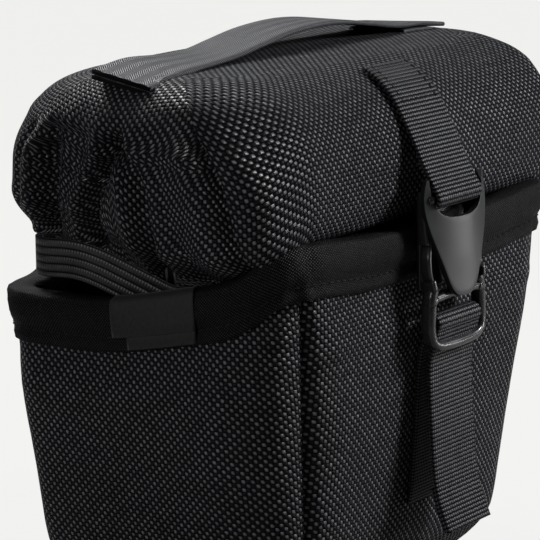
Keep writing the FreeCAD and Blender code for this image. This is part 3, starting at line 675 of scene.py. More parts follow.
# Nylon webbing, a rib across its width every 1.35 mm, each beaded by its yarns.
WEBBING = Textile("nylon_webbing_ribbed", Pattern.RIBS_ACROSS, pitch=1.35, thread="#37383d", gap="#020203",
                  roughness=0.42, sheen=0.0, depth=0.5)
# Thin strap webbing, a finer rib: the same yarn, beaten closer.
FINE_WEBBING = Textile("nylon_webbing_fine_ribbed", Pattern.RIBS_ACROSS, pitch=1.1, thread="#2e2f33", gap="#070708",
                       roughness=0.5, sheen=0.02, depth=0.25)
# Herringbone webbing, fine zigzag ribs 0.95 mm apart, duller than the ribbed strap.
HANDLE_WEB = Textile("nylon_webbing_herringbone", Pattern.HERRINGBONE, pitch=0.95, thread="#3c3d42", gap="#08080a",
                     roughness=0.45, sheen=0.02, depth=0.3)
# Woven elastic: five cords along its length, dull rubbery black.
ELASTIC = Textile("woven_elastic_ribbed", Pattern.RIBS_ALONG, pitch=2.6, thread="#1b1b1e", gap="#020203",
                  roughness=0.42, sheen=0.0, depth=0.6)
# Woven damask label, a tight satin face with a faint twill, drawn coarser than its real 0.2 mm.
LABEL = Textile("damask_label_satin", Pattern.TWILL, pitch=0.5, thread="#151517", gap="#0d0d0f",
                roughness=0.6, sheen=0.07, depth=0.04)
# Bonded nylon sewing thread, slightly paler than the tape it sits on.
THREAD = Textile("bonded_nylon_thread", Pattern.TWILL, pitch=0.25, thread="#55565c", gap="#1c1c1f",
                 roughness=0.40, sheen=0.05, depth=0.05)
# Acetal with a satin spark-eroded face: soft broad highlights.
SATIN_ACETAL = Moulded("acetal_satin_moulded", colour="#141517", roughness=0.38, grain=0.35, depth=0.012)
# Acetal as it leaves a polished mould: sharp dark reflections.
GLOSS_ACETAL = Moulded("acetal_gloss_moulded", colour="#1b1b1e", roughness=0.27, grain=0.8, depth=0.003, coat=0.1)


class Finishes:
    """Every material, built once."""

    def __init__(self) -> None:
        """Build them."""
        self.cover = BALLISTIC.build()
        self.lining = LINING.build()
        self.binding = BINDING.build()
        self.webbing = WEBBING.build()
        self.fine_webbing = FINE_WEBBING.build()
        self.handle = HANDLE_WEB.build()
        self.elastic = ELASTIC.build()
        self.label = LABEL.build()
        self.thread = THREAD.build()
        self.satin = SATIN_ACETAL.build()
        self.gloss = GLOSS_ACETAL.build()


# ------------------------------------------------------------------ body

@dataclass
class PouchBody:
    """Walls, base and lining as one padded shell, with its binding and label."""
    plan: Plan
    finishes: Finishes
    corner_radius: float = 26.0
    back_radius: float = 14.0
    base_edge: float = 7.0
    wall: float = 7.1              # cover, foam and lining together
    floor: float = 7.4
    bulge: float = 3.0             # how far a panel stands out between its seams
    groove: float = 2.4            # depth of a corner seam
    seam_width: float = 1.7
    right_lean: float = 9.0        # how far the right end draws in at the base
    lean_height: float = 112.0     # where that lean has died out
    binding_height: float = 16.0
    tape: float = 1.0              # thickness of the binding
    label_tape: float = 0.5        # thickness of the label
    rim_columns: int = 640         # stations round the rim
    # Distance round the rim from the middle of the front, and the height of the walls' top edge there.
    rim: Sequence[Pair] = ((-10.0, 118.0), (0.0, 118.0), (34.0, 118.2), (58.0, 120.4), (70.0, 120.6), (77.0, 118.6),
                           (83.0, 114.6), (90.0, 110.2), (98.0, 107.4), (108.0, 105.2), (122.0, 102.2), (138.0, 99.4),
                           (156.0, 98.2), (178.0, 98.0), (192.0, 98.2), (203.0, 99.6), (210.0, 104.0),
                           (217.0, 111.6), (225.0, 117.4), (240.0, 118.9), (280.0, 118.9))

    def __post_init__(self) -> None:
        """Read the driving sizes from the frame."""
        front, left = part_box("front_cover"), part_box("left_cover")
        self.front_top = front[1].z / MM
        self.end_top = left[1].z / MM
        self.half_d, self.half_w = -front[0].y / MM, -left[0].x / MM
        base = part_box("base_cover")
        seat = self.base_edge + 1.3
        self.base_w, self.base_d = base[1].x / MM + seat, base[1].y / MM + seat
        self.fine = Plan(self.rim_columns * 3 // 10, self.rim_columns * 2 // 10, self.plan.front_turn)

    def half_sizes(self, z: np.ndarray) -> tuple[np.ndarray, np.ndarray]:
        """The cover's size at a height.

        Args:
            z: Heights.

        Returns:
            Half widths and half depths.
        """
        edge = 2 * self.base_edge
        turned = np.where(z < edge, self.base_edge * (1 - np.clip(z, 0, edge) / edge) ** 2, 0.0)
        half_w = self.base_w + (self.half_w - self.base_w) * z / self.end_top - turned
        half_d = self.base_d + (self.half_d - self.base_d) * z / self.front_top - turned
        return half_w, half_d

    def settle(self, points: np.ndarray) -> np.ndarray:
        """Draw the right end in towards the base, where the empty pouch gives.

        Args:
            points: Points on the walls, which are changed.

        Returns:
            The same points.
        """
        low = np.clip(1 - points[..., 2] / self.lean_height, 0, 1) ** 1.2
        lean = smoothstep(5.0, 75.0, points[..., 0]) * low
        points[..., 0] -= self.right_lean * lean
        return points

    def radius_of(self, plan: Plan) -> np.ndarray:
        """Corner radius: broad at the front, tighter at the back.

        Args:
            plan: The stations.

        Returns:
            The radius at each station.
        """
        second = plan.share >= 0.5
        behind = ((plan.side == Side.BACK.value) | ((plan.side == Side.RIGHT.value) & second)
                  | ((plan.side == Side.LEFT.value) & ~second))
        return np.where(behind, self.back_radius, self.corner_radius)

    def top_heights(self, plan: Plan) -> np.ndarray:
        """Height of the walls' top edge: sagging on the ends, rising round the corners.

        Args:
            plan: The stations.

        Returns:
            The height at each station.
        """
        full = np.ones(plan.count)
        points, _, _, _ = plan.place(self.half_w * full, self.half_d * full, self.radius_of(plan))
        steps = np.linalg.norm(np.roll(points, -1, axis=0) - points, axis=1)
        ahead = np.cumsum(steps) - steps
        way = (ahead - ahead[plan.cells_x // 2]) % steps.sum()
        way = np.minimum(way, steps.sum() - way)
        line = curve_through(self.rim, 200)
        return np.interp(way, line[:, 0], line[:, 1])

    def wall_rows(self, inset: float, low: float, rows: int, puffed: bool) -> tuple[np.ndarray, ...]:
        """Rows of points up a wall.

        Args:
            inset: How far inside the cover the surface lies.
            low: Height of the lowest row.
            rows: How many rows.
            puffed: Whether the panels stand out between the seams.

        Returns:
            Points (rows, stations, 3), u at the start and at the end of each cell, and v.
        """
        tops = self.top_heights(self.plan)
        share = np.linspace(0, 1, rows)[:, None] ** 0.9
        z = low + (tops[None, :] - low) * share
        half_w, half_d = self.half_sizes(z)
        radius = np.broadcast_to(self.radius_of(self.plan), z.shape)
        flat, normals, run, length = self.plan.place(half_w - inset, half_d - inset, radius - inset)
        _, _, run_end, _ = self.plan.place(half_w - inset, half_d - inset, radius - inset,
                                           self.plan.share + self.plan.step)
        points = np.concatenate([flat, z[..., None]], axis=-1)
        if puffed:
            push = self.puff(points, run, length, z, tops)
            points[..., :2] += push[..., None] * normals
        return self.settle(points), run * MM, run_end * MM, z * MM

    def puff(self, points: np.ndarray, run: np.ndarray, length: np.ndarray, z: np.ndarray, tops: np.ndarray
             ) -> np.ndarray:
        """How far the padded cover stands out.

        Args:
            points: The unpadded points.
            run: Distance of each from its side's middle.
            length: Length of its side.
            z: Its height.
            tops: Height of the walls' top edge at each station.

        Returns:
            The distance at each point.
        """
        to_seam = length / 2 - np.abs(run)
        pillow = 1 - np.exp(-np.maximum(to_seam, 0) / 9.0)
        below = tops[None, :] - self.binding_height - z
        free = smoothstep(-1.0, 16.0, below) * smoothstep(0.0, 22.0, z)
        # Broad soft dents with small ones on them, and sharper creases under the binding near the corners.
        dents = rumple(points, scale=38.0, seed=3.0) * 1.3 + rumple(points, scale=15.0, seed=9.0) * 0.35
        seam = np.exp(-(to_seam / self.seam_width) ** 2) * smoothstep(-12.0, -6.0, below)
        near_corner = np.exp(-((to_seam - 20) / 16.0) ** 2) * np.exp(-((below - 14) / 13.0) ** 2)
        crease = near_corner * rumple(points * np.array([1.0, 1.0, 2.4]), scale=16.0, seed=5.0) * 1.6
        return (self.bulge * pillow + dents * pillow + crease) * free - self.groove * seam * smoothstep(0, 8, z)

    def build_shell(self) -> list[bpy.types.Object]:
        """The cover, base and lining as one closed padded mesh.

        Returns:
            The shell.
        """
        shell = Shell(self.plan)
        outer, u0, u1, v = self.wall_rows(0.0, 0.0, 62, True)
        cover = [(u0[k], u1[k], v[k], np.roll(v[k], -1)) for k in range(len(outer))]
        rings = [shell.ring(row) for row in outer]
        inner, u0, u1, v = self.wall_rows(self.wall, self.floor, 40, False)
        inside = [(u0[k], u1[k], v[k], np.roll(v[k], -1)) for k in range(len(inner))]
        for k in range(len(rings) - 1):
            shell.strip(rings[k], rings[k + 1], cover[k], cover[k + 1], 0)
        lining = [shell.ring(row) for row in inner]
        start, end, low, high = inside[-1]
        over_rim = 0.008        # metres of lining that cross the top of the wall
        shell.strip(rings[-1], lining[-1], cover[-1], (start, end, low + over_rim, high + over_rim), 1)
        for k in range(len(lining) - 1):
            shell.strip(lining[k], lining[k + 1], inside[k], inside[k + 1], 1, flip=True)
        shell.cap(rings[0], outer[0], 0, flip=True)
        shell.cap(lining[0], inner[0], 1, flip=False)
        thing = dress(shell.build("pouch_shell"), self.finishes.cover, self.finishes.lining)
        names = [f"{panel}_{layer}" for panel in ("front", "back", "left", "right", "base")
                 for layer in ("cover", "foam", "lining")]
        declare(thing, "pouch", "ballistic_cover", *names)
        return [thing]

    def rim_line(self, out: float, drop: float) -> tuple[np.ndarray, np.ndarray]:
        """A line round the rim.

        Args:
            out: Distance outside the cover.
            drop: Distance below the walls' top edge.

        Returns:
            The points and the outward directions.
        """
        z = self.top_heights(self.fine) - drop
        half_w, half_d = self.half_sizes(z)
        flat, normals, _, _ = self.fine.place(half_w + out, half_d + out, self.radius_of(self.fine) + out)
        line = self.settle(np.concatenate([flat, z[:, None]], axis=1))
        return line, np.concatenate([normals, np.zeros((self.fine.count, 1))], axis=1)

    def build_binding(self) -> list[bpy.types.Object]:
        """The tape folded over the rim, one closed loop with a pucker at each corner seam, and its stitches.

        Returns:
            The tape and the stitches.
        """
        inside, tape, tall = self.wall, self.tape, self.binding_height
        outline = [(0.15, tall - 0.4), (0.5, tall), (tape + 0.1, tall - 0.4), (tape + 0.35, tall * 0.85),
                   (tape - 0.35, tall * 0.70), (tape + 0.35, tall * 0.57), (tape + 0.9, tall * 0.4),
                   (tape + 0.8, tall * 0.2), (tape + 0.2, 0.9), (tape - 0.3, -0.2), (0.2, -tape + 0.2),
                   (-inside / 2, -tape - 0.1), (-inside - 0.2, -tape + 0.2), (-inside - tape + 0.1, 0.3),
                   (-inside - tape, tall * 0.5), (-inside - tape, tall), (-inside - 0.15, tall - 0.4),
                   (-inside - 0.1, 0.4), (-inside / 2, -0.1), (-0.3, 0.4), (0.05, tall * 0.5)]
        pucker = np.exp(-(self.seam_distance() / 7.0) ** 2)
        rows = []
        for out, drop in outline:
            points, normals = self.rim_line(out, drop)
            if out > tape * 0.4:
                ripple = rumple(points * np.array([1, 1, 0.5]), scale=9.0, seed=2.0) * 0.35
                ripple += pucker * rumple(points, scale=5.0, seed=7.0) * 1.3
                points += normals * ripple[:, None]
            rows.append(points)
        grid = np.array(rows)
        m, n = grid.shape[:2]
        along = lengths(np.vstack([grid[0], grid[0][:1]])) * MM
        around = lengths(np.array(outline + outline[:1])) * MM
        faces, uvs = [], []
        for k in range(m):
            j = (k + 1) % m
            for c in range(n):
                d = (c + 1) % n
                faces.append((k * n + c, k * n + d, j * n + d, j * n + c))
                uvs += [(along[c], around[k]), (along[c + 1], around[k]), (along[c + 1], around[k + 1]),
                        (along[c], around[k + 1])]
        thing = dress(mesh_object("rim_binding", grid.reshape(-1, 3), faces, np.array(uvs)), self.finishes.binding)
        declare(thing, "pouch", "binding_tape", "front_binding", "back_binding", "left_binding", "right_binding")
        row, _ = self.rim_line(tape + 0.05, tall * 0.70)
        stitches = Stitching().sew("rim_stitches", [row], self.finishes.thread, "pouch", "binding_tape", closed=True)
        return [thing, stitches]

    def seam_distance(self) -> np.ndarray:
        """Distance from the nearest corner seam at each station round the rim.

        Returns:
            One distance for each station.
        """
        full = np.ones(self.fine.count)
        _, _, run, length = self.fine.place(self.half_w * full, self.half_d * full, self.radius_of(self.fine))
        return length / 2 - np.abs(run)

    def patch(self, y_range: Pair, rows: Sequence[Pair], name: str) -> bpy.types.Object:
        """A piece of tape laid on the left end's binding.

        Args:
            y_range: Where it starts and ends.
            rows: Distance outside the cover and below the rim, for each row from its top.
            name: Its name.

        Returns:
            The mesh, with u along the rim and v down it.
        """
        lines = [self.rim_line(out, drop) for out, drop in rows]
        x, y = lines[0][0][:, 0], lines[0][0][:, 1]
        keep = np.where((x < -self.half_w + 14.0) & (y > y_range[0]) & (y < y_range[1]))[0]
        grid = np.array([points[keep] for points, _ in lines])
        m, n = grid.shape[:2]
        faces = [(k * n + c, k * n + c + 1, (k + 1) * n + c + 1, (k + 1) * n + c)
                 for k in range(m - 1) for c in range(n - 1)]
        down = lengths(np.array(rows))
        uvs = [(grid[k][c][1] * MM, down[k] * MM) for f in faces for k, c in (divmod(i, n) for i in f)]
        patch = mesh_object(name, grid.reshape(-1, 3), faces, np.array(uvs))
        thick = patch.modifiers.new("thick", "SOLIDIFY")
        thick.thickness, thick.offset = self.label_tape * MM, 0.0
        return bake(patch)

    def build_label(self) -> list[bpy.types.Object]:
        """A blank folded label: its face over the binding, and its lower end showing under the face.

        Returns:
            The label.
        """
        out = self.tape + 0.8
        low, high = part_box("label")
        y0, y1 = low.y / MM - 4.0, high.y / MM - 2.5
        face = self.patch((y0, y1), [(-2.5, -1.9), (-0.6, -1.8), (out - 0.6, -0.9), (out + 0.1, 0.6), (out + 0.3, 4.0),
                                     (out + 0.3, 8.0), (out + 0.2, 11.0)], "label_face")
        tab = self.patch((y0 - 2.0, y1 - 5.0), [(out - 0.2, 10.0), (out + 0.1, 12.0), (out, 15.2)], "label_tab")
        thing = dress(join("label_folded", [face, tab]), self.finishes.label)
        thing.data.polygons.foreach_set("material_index", np.zeros(len(thing.data.polygons), np.int32))
        return [declare(thing, "pouch", "label_tape", "label")]


# ------------------------------------------------------------------ lid

@dataclass(frozen=True)
class Valley:
    """A dark fold in a gathered end, as (y, z) up the end, in millimetres."""
    path: Sequence[Pair]
    depth: float
    width: float


@dataclass
class Lid:
    """The padded lid: a crowned top that rolls over front and back, and two gathered ends."""
    plan: Plan
    finishes: Finishes
    edge_radius: float = 30.0
    end_radius: float = 16.0
    crown: float = 1.6
    right_fullness: float = 5.0    # how much fuller the right end's padding is
    rows: int = 52                 # rows of points from the hem to the top
    nominal_radius: float = 20.0   # corner radius that seams and fullness are measured by
    dart_depth: float = 3.2        # how far a corner dart sinks
    lining_reach: float = 15.2     # how far the lining reaches past the elastics' ends, front and back
    elastic_width: float = 12.6
    elastic_thick: float = 1.3
    elastic_drop: float = 5.2      # from the hem down to the elastic's middle
    hinge_inset: float = 9.0       # how much narrower the hinge is at each side than its CAD strip
    hinge_thick: float = 0.9
    valleys: Sequence[Valley] = (
        Valley(((34.0, 116.0), (29.0, 132.0), (25.0, 147.0), (22.0, 170.0)), depth=6.4, width=2.4),
        Valley(((17.5, 112.0), (12.0, 130.0), (2.0, 146.0), (-6.0, 170.0)), depth=7.4, width=2.6),
        Valley(((-6.0, 100.0), (-9.6, 124.0), (-7.0, 142.0), (2.0, 152.0), (8.0, 170.0)), depth=6.4, width=2.6),
        Valley(((-24.0, 100.0), (-23.0, 116.0), (-18.0, 132.0), (-12.0, 170.0)), depth=2.2, width=4.0))

    def __post_init__(self) -> None:
        """Read the driving sizes from the frame."""
        low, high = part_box("lid_cover")
        self.half_w, self.half_d = high.x / MM, high.y / MM
        self.low, self.top = low.z / MM, high.z / MM
        self.tuck_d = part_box("lid_elastic_left")[1].y / MM
        self.tuck_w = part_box("lid_elastic_right")[1].x / MM

    def front_profile(self) -> np.ndarray:
        """(half depth, height) up the front, from the tucked edge to the flat of the top.

        Returns:
            The profile, one point for each row.
        """
        d, z0, r = self.half_d, self.low, self.edge_radius
        rise = [(d - 8.5, z0), (d - 8.0, z0 + 3.0), (d - 6.0, z0 + 5.6), (d - 2.6, z0 + 7.2), (d - 0.4, z0 + 10.5),
                (d + 0.6, z0 + 16.0), (d + 0.4, z0 + 21.0)]
        turn = [(d - r + r * math.cos(a), self.top - r + r * math.sin(a)) for a in np.radians([8, 25, 42, 59, 76, 90])]
        return curve_through(rise + turn, self.rows)

    def end_profile(self, back: bool) -> np.ndarray:
        """(half width, height) up the ends, from the hem to the flat of the top.

        Args:
            back: Whether it is the part behind the middle, where the hem hangs clear of the rim.

        Returns:
            The profile, one point for each row.
        """
        w, z0, r = self.half_w, self.low, self.end_radius
        hem = self.tuck_w - 1.6
        if back:
            rise = [(hem + 4.0, z0 + 1.5), (hem + 4.6, z0 + 4.5), (hem + 6.2, z0 + 9.5), (w - 5.0, z0 + 17.0),
                    (w - 3.0, z0 + 27.0), (w - 2.0, z0 + 38.0)]
        else:
            rise = [(hem - 0.6, z0 - 9.5), (hem - 0.2, z0 - 6.0), (hem + 3.8, z0 - 2.4), (w - 5.0, z0 + 3.0),
                    (w - 2.0, z0 + 11.0), (w - 0.6, z0 + 22.0), (w - 0.2, z0 + 38.0)]
        turn = [(w - r + r * math.cos(a), self.top - r + r * math.sin(a)) for a in np.radians([12, 38, 64, 90])]
        return curve_through(rise + turn, self.rows)

    def outer_rows(self) -> tuple[np.ndarray, ...]:
        """Rows of points from the tucked edge to the top.

        Returns:
            Points and outward normals (rows, stations, ...), u at the start and at the end of each cell, and the
            profiles of the front and of the back of an end.
        """
        front, back_end, front_end = self.front_profile(), self.end_profile(True), self.end_profile(False)
        n = self.plan.count
        points = np.zeros((self.rows, n, 3))
        runs, runs_end, normal_rows = np.zeros((self.rows, n)), np.zeros((self.rows, n)), np.zeros((self.rows, n, 2))
        full = np.ones(n)
        nominal, _, _, _ = self.plan.place(self.half_w * full, self.half_d * full, self.nominal_radius * full)
        right = smoothstep(-5.0, 45.0, nominal[:, 0])
        for k in range(self.rows):
            share = k / (self.rows - 1)
            radius = np.interp(share, [0, 0.1, 0.3, 0.7, 1.0], [12.0, 17.0, 26.0, 31.0, 22.0]) * (1 - right)
            radius += np.interp(share, [0, 0.5, 1.0], [17.0, 19.0, 20.0]) * right
            half_w, half_d = np.full(n, back_end[k, 0]), np.full(n, front[k, 0])
            flat, _, _, _ = self.plan.place(half_w, half_d, radius)
            ahead = smoothstep(31.0, -12.0, flat[:, 1]) ** 1.4
            half_w = back_end[k, 0] + (front_end[k, 0] - back_end[k, 0]) * ahead
            half_w += self.right_fullness * right * float(smoothstep(0.02, 0.3, share))
            z_end = back_end[k, 1] + (front_end[k, 1] - back_end[k, 1]) * ahead
            flat, normals, run, _ = self.plan.place(half_w, half_d, radius)
            _, _, run_end, _ = self.plan.place(half_w, half_d, radius, self.plan.share + self.plan.step)
            weight = smoothstep(0.1, 0.97, np.abs(normals[:, 0]))
            points[k, :, :2] = flat
            points[k, :, 2] = front[k, 1] + (z_end - front[k, 1]) * weight
            runs[k], runs_end[k], normal_rows[k] = run, run_end, normals
        return points, normal_rows, runs, runs_end, front, back_end

    def build_shell(self) -> list[bpy.types.Object]:
        """The cover and lining as one closed padded mesh.

        Returns:
            The shell.
        """
        points, normals, runs, runs_end, front, end = self.outer_rows()
        points = self.gather(points, normals)
        shell = Shell(self.plan)
        rings = [shell.ring(row) for row in points]
        v_front = lengths(front) - lengths(front)[-1]
        is_end = self.plan.side % 2 == 1
        sign = np.where(self.plan.side == Side.BACK.value, -1.0, 1.0)
        flat_d, flat_w = front[-1, 0], end[-1, 0]
        true_u, true_u_end, true_v = self.true_lengths(points)
        for k in range(self.rows - 1):
            quads = []
            for r in (k, k + 1):
                vf = sign * (v_front[r] - flat_d)
                ve, ve_end = true_v[r] - flat_w, np.roll(true_v[r], -1) - flat_w
                u = np.where(is_end, true_u[r], runs[r] * sign)
                u_end = np.where(is_end, true_u_end[r], runs_end[r] * sign)
                quads.append((u * MM, u_end * MM, np.where(is_end, ve, vf) * MM, np.where(is_end, ve_end, vf) * MM))
            shell.strip(rings[k], rings[k + 1], quads[0], quads[1], 0)
        shell.cap(rings[-1], points[-1], 0, flip=False, lift=self.lift)
        self.add_lining(shell, rings[0])
        thing = dress(shell.build("lid_shell"), self.finishes.cover, self.finishes.lining)
        declare(thing, "lid", "ballistic_cover", "lid_cover", "lid_foam", "lid_lining")
        return [thing]

    def true_lengths(self, points: np.ndarray) -> tuple[np.ndarray, np.ndarray, np.ndarray]:
        """Cloth lengths over the folds.

        Args:
            points: The folded rows.

        Returns:
            Lengths across from each side's middle, to the start and to the end of each cell, and down from the top.
        """
        steps = np.linalg.norm(np.roll(points, -1, axis=1) - points, axis=2)
        ahead = np.cumsum(steps, axis=1) - steps
        start, end = np.zeros_like(ahead), np.zeros_like(ahead)
        for side in Side:
            where = np.where(self.plan.side == side.value)[0]
            middle = ahead[:, where[len(where) // 2]][:, None]
            start[:, where] = ahead[:, where] - middle
            end[:, where] = ahead[:, where] + steps[:, where] - middle
        rises = np.linalg.norm(np.diff(points, axis=0), axis=2)
        fall = np.vstack([np.cumsum(rises[::-1], axis=0)[::-1], np.zeros((1, points.shape[1]))])
        return start, end, -fall

    def lift(self, inner: np.ndarray) -> np.ndarray:
        """Crown of the top.

        Args:
            inner: Points inside its edge.

        Returns:
            The height to add at each.
        """
        x = np.clip(np.abs(inner[..., 0]) / (self.half_w - self.end_radius), 0, 1)
        y = np.clip(np.abs(inner[..., 1]) / (self.half_d - self.edge_radius), 0, 1)
        return self.crown * (1 - x ** 3) * (1 - y ** 2)

    def gather(self, points: np.ndarray, normals: np.ndarray) -> np.ndarray:
        """Fold the ends into gathers, sink the corner darts and soften the rest.

        Args:
            points: The rows, which are changed.
            normals: Their outward directions.

        Returns:
            The same points.
        """
        share = np.linspace(0, 1, self.rows)[:, None]
        y, z = points[..., 1], points[..., 2]
        on_end = smoothstep(0.25, 0.85, np.abs(normals[..., 0]))
        fade = smoothstep(0.0, 0.05, share) * (1 - smoothstep(self.low + 30.0, self.low + 47.0, z))
        # Each valley wanders, and the cloth piles up in a low ridge behind it.
        wander = rumple(points, scale=26.0, seed=11.0) * 1.6
        push = 1.8 * fade * on_end
        for valley in self.valleys:
            line = curve_through(valley.path, 60)
            at = np.interp(z, line[:, 1], line[:, 0])
            near = (y + wander - at) / valley.width
            push -= valley.depth * np.exp(-np.abs(near) ** 1.3) * fade * on_end
            push += valley.depth * 0.35 * np.exp(-((near - 2.2) / 1.4) ** 2) * fade * on_end
        even = self.plan.side % 2 == 0
        full = np.ones(self.plan.count)
        _, _, run, length = self.plan.place(self.half_w * full, self.half_d * full, self.nominal_radius * full)
        to_seam = length / 2 - np.abs(run)
        # The darts run down the corner seams, and the cloth beside them is fuller and crumpled.
        dart = smoothstep(0.06, 0.14, share) * (1 - smoothstep(self.top - 22.0, self.top - 12.0, z))
        push -= self.dart_depth * np.exp(-(to_seam / np.where(even, 1.8, 2.8)) ** 2) * dart
        push += 3.0 * np.exp(-((to_seam - 9.0) / 6.0) ** 2) * dart * ~even
        crumple = rumple(points, scale=13.0, seed=4.0) * np.exp(-(to_seam / 13.0) ** 2) * dart
        push += rumple(points, scale=34.0, seed=6.0) * 1.2 * smoothstep(0.1, 0.3, share) + crumple
        points[..., :2] += push[..., None] * normals
        points[..., 2] += rumple(points, scale=45.0, seed=8.0) * 0.8 * smoothstep(0.5, 0.9, share)
        return points

    def add_lining(self, shell: Shell, first: int) -> None:
        """Close the shell with the lining under the lid.

        Args:
            shell: The shell.
            first: The first index of its lowest ring.
        """
        n = self.plan.count
        steps = [(1.6, self.low - 0.2), (2.0, self.low + 2.0), (2.2, self.low + 24.0), (9.0, self.low + 40.0),
                 (20.0, self.top - 8.0)]
        below = first
        for inset, z in steps:
            radius = np.full(n, max(4.0, 16.0 - inset * 0.5))
            flat, _, run, _ = self.plan.place(np.full(n, self.tuck_w - inset),
                                              np.full(n, self.tuck_d + self.lining_reach - inset), radius)
            ring = np.concatenate([flat, np.full((n, 1), z)], axis=1)
            index = shell.ring(ring)
            uv = (run * MM, np.roll(run, -1) * MM, np.full(n, z * MM), np.full(n, z * MM))
            shell.strip(below, index, uv, uv, 1, flip=True)
            below = index
        shell.cap(below, ring, 1, flip=True)

    def build_elastics(self) -> list[bpy.types.Object]:
        """The bands that gather the two ends, hanging clear at the back and tucked in at the front.

        Returns:
            The left band and the right one.
        """
        points, normals, _, _, _, _ = self.outer_rows()
        hem, out = points[0], normals[0]
        section = rounded_section(self.elastic_width, self.elastic_thick, 0.6, flat_steps=14)
        bands = []
        for name, side in (("left", Side.LEFT), ("right", Side.RIGHT)):
            facing = np.abs(out[:, 0]) > np.where(hem[:, 1] > 0, 0.04, 0.4)
            near = (hem[:, 0] < 0) == (side is Side.LEFT)
            keep = np.where(near & facing & ((self.plan.side == side.value) | (hem[:, 1] > 0)))[0]
            wave = rumple(hem[keep], scale=15.0, seed=5.0)[:, None]
            line = hem[keep] + np.concatenate([out[keep] * (0.8 + 0.7 * wave), wave - self.elastic_drop], axis=1)
            path = curve_through(line[::3], 90)
            band = dress(sweep(f"elastic_band_{name}", path, UPWARD, section), self.finishes.elastic)
            bands.append(declare(band, "lid", "elastic", f"lid_elastic_{name}"))
        return bands

    def build_hinge(self) -> list[bpy.types.Object]:
        """The strip of cover cloth that joins the lid's back to the pouch's back.

        Returns:
            The strip.
        """
        strip_low, strip_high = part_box("hinge_strip")
        _, flap_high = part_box("lid_hinge_flap")
        half, y0, y1 = strip_high.x / MM - self.hinge_inset, strip_high.y / MM, flap_high.y / MM
        z0, z1, z2 = strip_low.z / MM, strip_high.z / MM, flap_high.z / MM
        path = curve_through([(0, y0 + 0.2, z0), (0, y0 + 0.3, z0 + 8), (0, y0 + 0.2, z1 - 10), (0, y0 - 0.6, z1 - 3),
                              (0, y1 + 1.6, z1 + 3), (0, y1 + 0.8, z1 + 9), (0, y1 + 0.7, z2)], 40)
        thing = sweep("hinge_cloth", path, SIDEWAYS, rounded_section(2 * half, self.hinge_thick, 0.4, flat_steps=60))
        dress(thing, self.finishes.cover)
        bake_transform(thing)
        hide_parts("hinge_strip", "lid_hinge_flap")
        return [thing]


# ------------------------------------------------------------------ stitches

